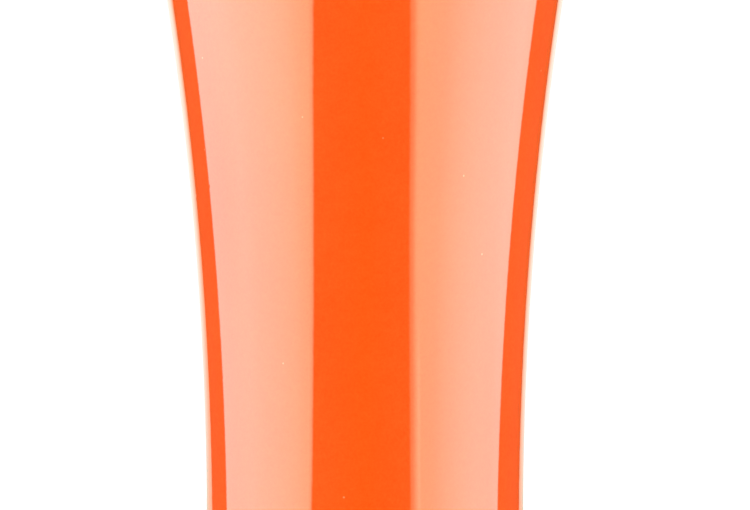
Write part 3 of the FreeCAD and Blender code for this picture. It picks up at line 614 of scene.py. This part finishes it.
def build_cap_nut(side):
    flats, base, tall, dome, r0, deep = 10.0, 57.7, 5.3, 4.7, 3.0, 7.4
    hexa = hex_angles(flats, 0.28)
    T = [t for t, _ in hexa]
    lip, top = flats * 0.475, base + tall
    rings = [
        [(0.0, 0.0, base + deep)],
        [(t, r0, base + deep) for t in T],
        [(t, r0, base + 0.5) for t in T],
        [(t, r0 + 0.5, base) for t in T],
        [(t, flats / 2 - 0.02, base) for t in T],
        [(t, r, base + max(r - flats / 2 + 0.02, 0.0) * TAN30) for t, r in hexa],
        [(t, r, top - max(r - lip, 0.0) * TAN30) for t, r in hexa],
        [(t, lip, top) for t in T],
        [(t, dome - 0.18, top) for t in T],
        [(t, dome - 0.18, top + 0.18) for t in T],
    ]
    n = 22
    for i in range(1, n):
        d = math.radians(3.0 + 87.0 * i / n)
        rings.append([(t, dome * math.cos(d), top + dome * math.sin(d)) for t in T])
    rings.append([(0.0, 0.0, top + dome)])
    rings = [[(t, r, side * x) for t, r, x in ring] for ring in rings]
    ob = shell("cap_nut_" + ("right" if side > 0 else "left"), rings, axis="X")
    weighted(ob, 24)
    return ob


def build_lock_washer():
    """A split spring washer, closed flat, its ends cut on the slant."""
    r_in, r_out, lo, hi, c = 4.1, 6.6, 32.0, 34.0, 0.16
    sect = [
        (r_in + c, lo), (r_out - c, lo), (r_out, lo + c), (r_out, hi - c),
        (r_out - c, hi), (r_in + c, hi), (r_in, hi - c), (r_in, lo + c),
    ]
    n = 120
    gap, slant = math.radians(9.0), math.radians(14.0)
    mid = math.radians(86.0)
    verts, faces = [], []
    for i in range(n + 1):
        for r, y in sect:
            lean = slant * ((y - lo) / (hi - lo) - 0.5)
            t = mid + gap / 2 + (TAU - gap) * i / n + lean
            verts.append(at(r * math.sin(t), y, r * math.cos(t)))
    m = len(sect)
    for i in range(n):
        for j in range(m):
            k = (j + 1) % m
            faces.append((i * m + j, i * m + k, (i + 1) * m + k, (i + 1) * m + j))
    faces.append(tuple(range(m)))
    faces.append(tuple(reversed(range(n * m, n * m + m))))
    ob = mesh_object("lock_washer_split", verts, faces)
    fix_normals(ob)
    set_sharp(ob, 30)
    return ob


def build_pins():
    """Two domed brads; the underside of each head follows the ferrule's curve."""
    seat, y0, r0, long, rh, h = 10.8, 70.0, 0.8, 4.3, 1.7, 0.6
    ball = (rh * rh + h * h) / (2 * h)
    n = 48
    T = [TAU * i / n for i in range(n)]
    objs = []
    for side in (1, -1):
        def sits(r, t):
            z = r * math.cos(t)
            return math.sqrt(seat**2 - z * z) + 0.005

        rings = [[(0.0, 0.0, seat + 0.05 - long)], [(t, r0 - 0.2, seat + 0.05 - long) for t in T], [(t, r0, seat + 0.3 - long) for t in T]]
        rings.append([(t, r0, seat - 0.3) for t in T])
        rings.append([(t, rh - 0.08, sits(rh, t)) for t in T])
        rings.append([(t, rh, sits(rh, t) + 0.07) for t in T])
        for i in range(1, 14):
            r = rh * math.cos(math.radians(90 * i / 14))
            x = seat + 0.02 + math.sqrt(ball**2 - r * r) - (ball - h)
            w = (r / rh) ** 6
            rings.append([(t, r, x * (1 - w) + max(x, sits(rh, t) + 0.1) * w) for t in T])
        rings.append([(0.0, 0.0, seat + 0.02 + h)])
        rings = [[(t, r, side * x) for t, r, x in ring] for ring in rings]
        objs.append(shell("pin", rings, axis="X", centre=(0.0, y0, 0.0)))
    bm = bmesh.new()
    for o in objs:
        bm.from_mesh(o.data)
    bmesh.ops.recalc_face_normals(bm, faces=bm.faces)
    me = bpy.data.meshes.new("ferrule_brads")
    bm.to_mesh(me)
    bm.free()
    for o in objs:
        bpy.data.objects.remove(o)
    ob = bpy.data.objects.new("ferrule_brads", me)
    bpy.context.scene.collection.objects.link(ob)
    set_sharp(ob, 40)
    return ob


# ------------------------------------------------------------ metals and the rest
def scratches(k, co):
    """Sparse fine scratches in two directions, as a height of 0 to 1."""
    out = None
    for turn, seed in (((0.5, 0.25, 0.9), 3.1), ((-0.35, 0.7, 2.1), 11.7)):
        mp = k.add("ShaderNodeMapping", props={"vector_type": "POINT"})
        k.put(co, mp.inputs["Vector"])
        mp.inputs["Rotation"].default_value = turn
        mp.inputs["Location"].default_value = (seed, seed, seed)
        long = k.vmath("MULTIPLY", mp.outputs[0], (0.22, 9.0, 9.0))
        n = k.add("ShaderNodeTexNoise", {"Scale": 1.0, "Detail": 1.0, "Roughness": 0.4}, Vector=long)
        cut = k.step(n.outputs[0], 0.70, 0.76)
        out = cut if out is None else k.math("MAXIMUM", out, cut)
    return out


def metal(name, color, rough, pattern, depth, density=9.0, scratch=0.35, cloud_scale=0.22, blotch=0.07, tint=None, turned=0.0):
    """Bare or plated metal. pattern is ("lines", scales) or ("turned", axis, centre); turned is
    how far the highlights stretch across the tool lines of a faced end."""
    m, k, b = new_material(name)
    co = own_coords(k)
    if pattern[0] == "lines":
        vec = k.vmath("MULTIPLY", co, pattern[1])
    else:
        vec = k.vmath("MULTIPLY", turned_coords(k, pattern[1], pattern[2]), (density, density, density))
    lines = k.add("ShaderNodeTexNoise", {"Scale": 1.0, "Detail": 5.0, "Roughness": 0.72}, Vector=vec)
    cloud = k.add("ShaderNodeTexNoise", {"Scale": cloud_scale, "Detail": 4.0, "Roughness": 0.6}, Vector=co)
    grain = k.add("ShaderNodeTexNoise", {"Scale": 5.0, "Detail": 2.0, "Roughness": 0.6}, Vector=co)
    tone = k.math("ADD", k.math("MULTIPLY", cloud.outputs[0], 0.7), k.math("MULTIPLY", lines.outputs[0], 0.3))
    ramp = k.add("ShaderNodeValToRGB", Fac=tone)
    ramp.color_ramp.elements[0].position = 0.3
    ramp.color_ramp.elements[0].color = tuple(c * (1 - blotch) for c in (tint or color)) + (1,)
    ramp.color_ramp.elements[1].position = 0.66
    ramp.color_ramp.elements[1].color = tuple(color) + (1,)
    k.put(ramp.outputs[0], b.inputs["Base Color"])
    b.inputs["Metallic"].default_value = 1.0
    mix = k.math("ADD", k.math("MULTIPLY", cloud.outputs[0], 0.3), k.math("MULTIPLY", grain.outputs[0], 0.3))
    mix = k.math("ADD", mix, k.math("MULTIPLY", lines.outputs[0], 0.4))
    rg = k.add("ShaderNodeMapRange", {"From Min": 0.32, "From Max": 0.68, "To Min": rough[0], "To Max": rough[1]}, Value=mix)
    k.put(rg.outputs[0], b.inputs["Roughness"])
    height = k.math("SUBTRACT", lines.outputs[0], k.math("MULTIPLY", scratches(k, co), scratch))
    bump = k.add("ShaderNodeBump", {"Strength": 1.0, "Distance": depth}, Height=height)
    k.put(bump.outputs[0], b.inputs["Normal"])
    if turned:
        # round the axis: the position's direction from it, turned a quarter
        co0 = k.vmath("SUBTRACT", co, pattern[2])
        axis = (1, 0, 0) if pattern[1] == "X" else (0, 1, 0)
        way = k.vmath("NORMALIZE", k.vmath("CROSS_PRODUCT", axis, co0))
        sep = k.add("ShaderNodeSeparateXYZ", Vector=way)
        c, sn = math.cos(TILT), math.sin(TILT)
        y = k.math("ADD", k.math("MULTIPLY", sep.outputs[1], c), k.math("MULTIPLY", sep.outputs[2], sn))
        z = k.math("SUBTRACT", k.math("MULTIPLY", sep.outputs[2], c), k.math("MULTIPLY", sep.outputs[1], sn))
        rest_way = k.add("ShaderNodeCombineXYZ", X=sep.outputs[0], Y=y, Z=z)
        world = k.add("ShaderNodeVectorTransform", Vector=rest_way.outputs[0])
        world.vector_type = "VECTOR"
        world.convert_from, world.convert_to = "OBJECT", "WORLD"
        k.put(world.outputs[0], b.inputs["Tangent"])
        b.inputs["Anisotropic"].default_value = turned
    return m


def rubber():
    """Soft rubber ground on a cylindrical grinder: matt, with fine rings and a fine grain."""
    m, k, b = new_material("ground_rubber")
    co = own_coords(k)
    rings = k.add("ShaderNodeTexNoise", {"Scale": 1.0, "Detail": 4.0, "Roughness": 0.65}, Vector=k.vmath("MULTIPLY", turned_coords(k, "X"), (2.6, 2.6, 2.6)))
    grain = k.add("ShaderNodeTexNoise", {"Scale": 3.2, "Detail": 3.0, "Roughness": 0.65}, Vector=co)
    cloud = k.add("ShaderNodeTexNoise", {"Scale": 0.09, "Detail": 4.0, "Roughness": 0.6}, Vector=co)
    tone = k.math("ADD", k.math("MULTIPLY", cloud.outputs[0], 0.4), k.math("MULTIPLY", grain.outputs[0], 0.25))
    tone = k.math("ADD", tone, k.math("MULTIPLY", rings.outputs[0], 0.35))
    ramp = k.add("ShaderNodeValToRGB", Fac=tone)
    ramp.color_ramp.elements[0].position = 0.36
    ramp.color_ramp.elements[0].color = (0.006, 0.006, 0.0065, 1)
    ramp.color_ramp.elements[1].position = 0.64
    ramp.color_ramp.elements[1].color = (0.02, 0.02, 0.0205, 1)
    k.put(ramp.outputs[0], b.inputs["Base Color"])
    b.inputs["IOR"].default_value = 1.5
    b.inputs["Specular IOR Level"].default_value = 0.42
    rg = k.add("ShaderNodeMapRange", {"From Min": 0.3, "From Max": 0.7, "To Min": 0.4, "To Max": 0.6}, Value=tone)
    k.put(rg.outputs[0], b.inputs["Roughness"])
    height = k.math("ADD", k.math("MULTIPLY", rings.outputs[0], 0.6), k.math("MULTIPLY", grain.outputs[0], 0.4))
    bump = k.add("ShaderNodeBump", {"Strength": 1.0, "Distance": 0.00005}, Height=height)
    k.put(bump.outputs[0], b.inputs["Normal"])
    return m


def plastic(name, dark, light, rough, subsurface=0.0, depth=0.000004):
    m, k, b = new_material(name)
    co = own_coords(k)
    cloud = k.add("ShaderNodeTexNoise", {"Scale": 0.6, "Detail": 3.0, "Roughness": 0.6}, Vector=co)
    cut = k.add("ShaderNodeTexNoise", {"Scale": 1.0, "Detail": 3.0, "Roughness": 0.6}, Vector=k.vmath("MULTIPLY", turned_coords(k, "X"), (7.0, 7.0, 7.0)))
    tone = k.math("ADD", k.math("MULTIPLY", cloud.outputs[0], 0.6), k.math("MULTIPLY", cut.outputs[0], 0.4))
    ramp = k.add("ShaderNodeValToRGB", Fac=tone)
    ramp.color_ramp.elements[0].position = 0.3
    ramp.color_ramp.elements[0].color = tuple(dark) + (1,)
    ramp.color_ramp.elements[1].position = 0.7
    ramp.color_ramp.elements[1].color = tuple(light) + (1,)
    k.put(ramp.outputs[0], b.inputs["Base Color"])
    rg = k.add("ShaderNodeMapRange", {"From Min": 0.3, "From Max": 0.7, "To Min": rough[0], "To Max": rough[1]}, Value=tone)
    k.put(rg.outputs[0], b.inputs["Roughness"])
    if subsurface:
        b.inputs["Subsurface Weight"].default_value = subsurface
        b.inputs["Subsurface Radius"].default_value = (0.001, 0.0009, 0.0007)
        b.inputs["Subsurface Scale"].default_value = 0.5
    bump = k.add("ShaderNodeBump", {"Strength": 1.0, "Distance": depth}, Height=cut.outputs[0])
    k.put(bump.outputs[0], b.inputs["Normal"])
    return m


FLAT = 0.05
MATS = {
    "nickel_plate": metal("nickel_drawn", (0.72, 0.69, 0.64), (0.07, 0.15), ("turned", "Y", (0, 0, 0)), 0.0000012, density=6.0, tint=(0.66, 0.62, 0.56)),
    "brad_steel": metal("brad_steel", (0.5, 0.49, 0.48), (0.2, 0.32), ("turned", "X", (0, 70, 0)), 0.000002, density=8.0),
    "insert_brass": metal("turned_brass", (0.62, 0.42, 0.13), (0.2, 0.32), ("turned", "Y", (0, 0, 0)), 0.000003),
    "shank_steel": metal("shank_zinc", (0.55, 0.55, 0.56), (0.17, 0.28), ("turned", "Y", (0, 0, 0)), 0.0000022, density=8.0, tint=(0.5, 0.5, 0.53)),
    "fastener_steel": metal("fastener_zinc", (0.56, 0.56, 0.57), (0.2, 0.33), ("lines", (1.6, 1.6, 1.6)), 0.0000035, cloud_scale=0.5, tint=(0.5, 0.51, 0.55)),
    "yoke_plate": metal("yoke_nickel", (0.66, 0.655, 0.65), (0.11, 0.2), ("lines", (FLAT, FLAT, 4.0)), 0.0000036, cloud_scale=0.12, blotch=0.05, tint=(0.61, 0.6, 0.585)),
    "stand_plate": metal("stand_nickel", (0.65, 0.645, 0.64), (0.12, 0.21), ("lines", (FLAT, 4.0, 4.0)), 0.0000036, cloud_scale=0.12, blotch=0.05, tint=(0.6, 0.59, 0.575)),
    "rivet_steel": metal("rivet_steel", (0.52, 0.52, 0.52), (0.22, 0.36), ("lines", (1.4, 1.4, 1.4)), 0.000007, cloud_scale=0.45),
    "axle_steel": metal("axle_ground", (0.5, 0.5, 0.51), (0.14, 0.24), ("turned", "X", (0, 0, 0)), 0.000002, density=10.0),
    "cap_nut_plate": metal("cap_nut_nickel", (0.68, 0.675, 0.67), (0.08, 0.16), ("turned", "X", (0, 0, 0)), 0.0000012, density=7.0, tint=(0.63, 0.62, 0.6)),
    "core_aluminium": metal("core_tube", (0.62, 0.63, 0.65), (0.25, 0.38), ("lines", (FLAT, 9.0, 9.0)), 0.000003),
    "hub_aluminium": metal("hub_turned", (0.64, 0.65, 0.67), (0.22, 0.28), ("turned", "X", (0, 0, 0)), 0.0000016, density=4.0, blotch=0.04, scratch=0.2, turned=0.6),
    "nylon_white": plastic("natural_nylon", (0.70, 0.68, 0.60), (0.78, 0.765, 0.70), (0.36, 0.5), subsurface=0.15),
    "bush_acetal": plastic("black_acetal", (0.010, 0.010, 0.011), (0.018, 0.018, 0.019), (0.26, 0.38)),
    "soft_rubber": rubber(),
}
SLOT_OF = {p["node"]: p["material_slot"] for p in RECORD["subparts"]}


def dress(ob, slot_name, *nodes_replaced):
    ob.data.materials.clear()
    ob.data.materials.append(MATS[slot_name])
    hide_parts(*nodes_replaced)
    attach(ob, "frame")


for name, ob in frame["nodes"].items():
    if SLOT_OF[name] in MATS:
        ob.data.materials.clear()
        ob.data.materials.append(MATS[SLOT_OF[name]])

dress(build_shank(), "shank_steel", "shank")
dress(build_nut(), "fastener_steel", "shank_nut")
dress(build_cap_nut(1), "cap_nut_plate", "right_cap_nut")
dress(build_cap_nut(-1), "cap_nut_plate", "left_cap_nut")
dress(build_lock_washer(), "fastener_steel", "lock_washer")
dress(build_pins(), "brad_steel", "ferrule_pins")

# ----------------------------------------------------------------------- stage
floor = mesh_object("floor", [(-14, -14, 0), (14, -14, 0), (14, 14, 0), (-14, 14, 0)], [(0, 1, 2, 3)], smooth=False)
fm, fkn, fb = new_material("white_sweep")
fb.inputs["Base Color"].default_value = (0.9, 0.9, 0.9, 1)
fb.inputs["Roughness"].default_value = 1.0
fb.inputs["Specular IOR Level"].default_value = 0.0
floor.data.materials.append(fm)
floor.visible_glossy = False


def studio_light(k, d):
    """The light that comes from direction d: a long soft light on each side of the handle,
    dark between them overhead, and a white sweep below. Two sockets: red and green, blue."""
    x = k.dot(d, (1, 0, 0))
    v = k.dot(d, (0, math.cos(TILT), -math.sin(TILT)))
    z = k.dot(d, tuple(UP))
    a = k.math("MULTIPLY", k.math("ARCTAN2", x, z), 180 / math.pi)
    right = k.math("GREATER_THAN", a, 0.0)
    mag = k.math("ABSOLUTE", a)
    half = k.math("COSINE", k.math("MULTIPLY", k.math("MINIMUM", mag, 150.0), math.pi / 360))
    along = k.math("DIVIDE", v, k.math("MULTIPLY", half, 2.0))
    outer = k.step(mag, 86.0, 104.0)

    STOPS = (30, 40, 50, 60, 70, 80, 90, 100, 110, 120, 130)

    def panel(edge_in, edge_out, ramp, crest, gain, soft_out, falls, green, blue):
        """One side light between two edges: ramp is its rise from the inner edge, in degrees,
        crest the middle of its brightest strip, falls its change along the handle."""
        lo = k.curve(v, edge_in)
        hi = k.curve(v, edge_out)
        past = k.math("SUBTRACT", mag, lo)
        on = k.curve(past, ramp)
        # a slightly brighter strip just inside the edge, toward the waist
        strip = k.math("MULTIPLY", k.step(past, crest - 1.7, crest), k.math("SUBTRACT", 1.0, k.step(past, crest, crest + 1.9)))
        strip = k.math("MULTIPLY", strip, k.step(v, -0.13, -0.09))
        on = k.math("MULTIPLY", on, k.math("MULTIPLY_ADD", strip, gain, 1.0))
        off = k.step(mag, k.math("SUBTRACT", hi, soft_out), k.math("ADD", hi, soft_out))
        gate = k.math("MULTIPLY", on, k.math("SUBTRACT", 1.0, off))
        near, far = k.curve(along, falls[0]), k.curve(along, falls[1])
        level = k.math("ADD", near, k.math("MULTIPLY", outer, k.math("SUBTRACT", far, near)))
        gate = k.math("MULTIPLY", gate, level)
        return [k.math("MULTIPLY", gate, k.curve(mag, list(zip(STOPS, c)))) for c in (green, blue)]

    left_l = panel(LEFT_IN, LEFT_OUT, LEFT_RAMP, 3.4, 0.06, 1.2, LEFT_FALL, LEFT_G, LEFT_B)
    right_l = panel(RIGHT_IN, RIGHT_OUT, RIGHT_RAMP, 7.4, 0.2, 1.0, RIGHT_FALL, RIGHT_G, RIGHT_B)

    def pick(a0, a1):
        n = k.add("ShaderNodeMix", props={"data_type": "FLOAT"})
        k.put(right, n.inputs[0])
        k.put(a0, n.inputs[2])
        k.put(a1, n.inputs[3])
        return n.outputs[0]

    rim_at = pick(k.curve(v, RIM_LEFT), k.curve(v, RIM_RIGHT))
    rim_on = k.step(mag, k.math("SUBTRACT", rim_at, 1.5), k.math("ADD", rim_at, 1.5))
    rim_on = k.math("MULTIPLY", rim_on, k.curve(mag, RIM_FALL))
    lift = k.math("MULTIPLY", k.step(v, -0.1, -0.3), 0.03)
    # soft light from beyond each end of the tool
    ends = k.math("MULTIPLY", k.curve(k.math("ABSOLUTE", v), ENDS), k.step(z, -0.35, -0.05))
    channels = []
    for l, r, sweep, dark in zip(left_l, right_l, (RIM_G, RIM_B), (DARK_G, DARK_B)):
        rest = k.math("ADD", k.math("MULTIPLY", rim_on, k.curve(v, sweep)), k.math("ADD", k.curve(mag, dark), lift))
        inner = k.math("ADD", pick(l, r), rest)
        channels.append(k.math("MAXIMUM", inner, ends))
    reach = k.math("SUBTRACT", 1.0, k.step(k.math("ABSOLUTE", v), 0.33, 0.62))
    return channels, k.curve(mag, CAP), reach


def studio():
    """The soft part of the light comes from the world and falls on everything. What is
    brighter than that, on the panels, is a dome that lights the lacquered handle alone."""
    w = bpy.data.worlds.new("studio")
    bpy.context.scene.world = w
    w.cycles.sampling_method = "NONE"
    w.use_nodes = True
    t = w.node_tree
    t.nodes.clear()
    k = Nodes(t)
    d = k.add("ShaderNodeTexCoord").outputs["Generated"]
    channels, cap, _ = studio_light(k, d)
    low = [k.math("MINIMUM", c, cap) for c in channels]
    rgb = k.add("ShaderNodeCombineColor")
    for i, c in ((0, 0), (1, 0), (2, 1)):
        k.put(low[c], rgb.inputs[i])
    cam = k.add("ShaderNodeLightPath").outputs["Is Camera Ray"]
    level = k.add("ShaderNodeMix", props={"data_type": "RGBA"})
    k.put(cam, level.inputs[0])
    k.put(rgb.outputs[0], level.inputs[6])
    level.inputs[7].default_value = (1, 1, 1, 1)
    bg = k.add("ShaderNodeBackground", Color=level.outputs[2])
    out = k.add("ShaderNodeOutputWorld")
    k.put(bg.outputs[0], out.inputs["Surface"])

    centre = at(0, WAIST_Y + 15, 0)
    bm = bmesh.new()
    bmesh.ops.create_icosphere(bm, subdivisions=4, radius=30.0)
    bmesh.ops.reverse_faces(bm, faces=bm.faces)
    me = bpy.data.meshes.new("panel_dome")
    bm.to_mesh(me)
    bm.free()
    dome = bpy.data.objects.new("panel_dome", me)
    dome.location = centre
    bpy.context.scene.collection.objects.link(dome)
    m = bpy.data.materials.new("panel_glow")
    m.use_nodes = True
    m.node_tree.nodes.clear()
    k = Nodes(m.node_tree)
    d = k.vmath("NORMALIZE", k.add("ShaderNodeTexCoord").outputs["Object"])
    channels, cap, reach = studio_light(k, d)
    high = [k.math("MULTIPLY", k.math("MAXIMUM", k.math("SUBTRACT", c, cap), 0.0), reach) for c in channels]
    rgb = k.add("ShaderNodeCombineColor")
    for i, c in ((0, 0), (1, 0), (2, 1)):
        k.put(high[c], rgb.inputs[i])
    glow = k.add("ShaderNodeEmission", Color=rgb.outputs[0])
    clear = k.add("ShaderNodeBsdfTransparent")
    both = k.add("ShaderNodeAddShader")
    k.put(glow.outputs[0], both.inputs[0])
    k.put(clear.outputs[0], both.inputs[1])
    out = k.add("ShaderNodeOutputMaterial")
    k.put(both.outputs[0], out.inputs["Surface"])
    m.cycles.emission_sampling = "NONE"
    me.materials.append(m)
    dome.visible_camera = False
    dome.visible_shadow = False
    only = bpy.data.collections.new("handle_only")
    only.objects.link(handle)
    dome.light_linking.receiver_collection = only


# The studio in angles about the handle: 0 is overhead, 180 straight down. Each edge is a
# curve over the direction's component along the handle.
LEFT_IN = [(-0.5, 22.0), (-0.272, 29.1), (-0.214, 32.1), (-0.149, 34.6), (-0.084, 36.9), (-0.019, 39.1), (0.1, 42.0), (0.5, 50.0)]
RIGHT_IN = [(-0.5, 20.0), (-0.272, 25.6), (-0.214, 27.9), (-0.149, 29.7), (-0.084, 31.7), (-0.019, 32.9), (0.1, 36.0), (0.5, 44.0)]
LEFT_OUT = [(-0.4, 150.0), (-0.134, 132.5), (-0.094, 127.2), (-0.07, 124.7), (-0.041, 121.6), (-0.009, 118.6), (0.1, 110.0), (0.5, 100.0)]
RIGHT_OUT = [(-0.4, 140.0), (-0.155, 124.2), (-0.121, 121.0), (-0.084, 117.4), (-0.048, 114.2), (-0.011, 111.0), (0.1, 104.0), (0.5, 96.0)]
LEFT_RAMP = [(0.0, 0.0), (1.6, 0.8), (4.0, 1.0)]
RIGHT_RAMP = [(0.0, 0.0), (1.9, 0.4), (2.8, 0.43), (5.6, 0.93), (7.5, 1.0)]
LEFT_G = [2.409, 2.654, 3.072, 3.238, 3.269, 3.208, 3.108, 2.754, 2.318, 1.908, 1.47]
LEFT_B = [1.785, 2.164, 2.737, 3.048, 3.196, 3.223, 3.182, 2.823, 2.382, 1.93, 1.504]
RIGHT_G = [2.523, 2.476, 2.507, 2.85, 3.064, 3.095, 2.944, 2.68, 2.391, 1.789, 1.7]
RIGHT_B = [1.837, 1.96, 2.1, 2.567, 2.891, 3.016, 2.919, 2.664, 2.358, 1.678, 1.594]
RIM_LEFT = [(-0.077, 149.9), (-0.066, 151.9), (-0.057, 154.3), (-0.045, 155.6), (-0.039, 153.8), (-0.031, 148.6), (-0.021, 140.6), (-0.011, 134.5), (0.0, 129.5)]
RIM_RIGHT = [(-0.077, 157.0), (-0.066, 160.0), (-0.057, 162.0), (-0.045, 160.4), (-0.037, 157.0), (-0.031, 152.8), (-0.021, 145.7), (-0.011, 138.7), (0.0, 133.5)]
RIM_G = [(-0.2, 1.0), (-0.09, 0.82), (-0.056, 0.75), (-0.045, 0.5), (-0.036, 0.46), (-0.028, 0.78), (-0.02, 0.95), (-0.005, 1.08), (0.1, 1.0)]
RIM_B = [(-0.2, 1.0), (-0.09, 0.80), (-0.056, 0.68), (-0.045, 0.36), (-0.036, 0.32), (-0.028, 0.68), (-0.02, 0.88), (-0.005, 1.0), (0.1, 1.0)]
RIM_FALL = [(130, 1.12), (150, 1.08), (160, 0.98), (170, 0.82), (180, 0.62)]
DARK_G = [(0, 0.02), (20, 0.055), (34, 0.10), (110, 0.11), (150, 0.125)]
DARK_B = [(0, 0.035), (20, 0.07), (34, 0.105), (110, 0.11), (135, 0.08), (150, 0.05)]
# change along the handle, over the component along it at half angle, toward the waist
LEFT_FALL = (
    [(-0.145, 1.035), (-0.115, 1.03), (-0.1, 1.02), (-0.081, 0.99), (-0.064, 0.975), (-0.03, 0.965), (0.0, 0.955)],
    [(-0.145, 1.17), (-0.132, 1.12), (-0.115, 1.05), (-0.098, 0.98), (-0.081, 0.94), (-0.055, 0.96), (-0.03, 0.945), (-0.01, 0.905)],
)
RIGHT_FALL = (
    [(-0.145, 0.97), (-0.132, 0.99), (-0.115, 1.0), (-0.081, 1.0), (-0.064, 0.985), (-0.03, 0.97), (0.0, 0.965)],
    [(-0.145, 0.975), (-0.132, 1.045), (-0.115, 1.03), (-0.098, 1.015), (-0.081, 1.01), (-0.064, 0.965), (-0.047, 0.93), (-0.03, 0.925), (-0.01, 0.895)],
)
ENDS = [(0.42, 0.0), (0.6, 0.25), (0.8, 0.62), (1.0, 0.8)]
CAP = [(0, 0.95), (115, 0.95), (150, 0.8)]

studio()


def floor_wash():
    """A broad light that falls on the sweep alone, so it stays white around the handle."""
    wash = bpy.data.lights.new("floor_wash", "AREA")
    wash.shape = "DISK"
    wash.size = 1.6
    wash.energy = 30.0
    ob = bpy.data.objects.new("floor_wash", wash)
    bpy.context.scene.collection.objects.link(ob)
    ob.location = (0.0, 0.0, 1.6)
    ob.visible_glossy = False
    ob.visible_camera = False
    only = bpy.data.collections.new("floor_only")
    only.objects.link(floor)
    ob.light_linking.receiver_collection = only


floor_wash()

light = bpy.data.lights.new("overhead", "AREA")
light.shape = "DISK"
light.size = 0.9
light.energy = 10.0
over = bpy.data.objects.new("overhead", light)
bpy.context.scene.collection.objects.link(over)
over.location = at(0, 60, 1300)
over.rotation_euler = (-TILT, 0, 0)
over.visible_glossy = False
over.visible_camera = False

# ---------------------------------------------------------------------- camera
# Looks square to the handle's axis, down on the stretch from the waist to the
# start of the swell, with the butt's end toward the top of the frame.
cam = bpy.data.cameras.new("camera")
camera = bpy.data.objects.new("camera", cam)
bpy.context.scene.collection.objects.link(camera)
bpy.context.scene.camera = camera
PX_PER_MM = 15.8
DIST = 550.0
cam.sensor_width = 36.0
cam.lens = 36.0 * DIST / (750 / PX_PER_MM)
cam.clip_start = 0.01
cam.clip_end = 100.0
camera.location = at(10 / PX_PER_MM, WAIST_Y + 270 / PX_PER_MM, DIST)
camera.rotation_euler = (-TILT, 0, 0)

sc = bpy.context.scene
sc.view_settings.view_transform = "Standard"
sc.view_settings.look = "None"
sc.view_settings.exposure = 0.0
sc.view_settings.gamma = 1.0

bpy.context.view_layer.update()
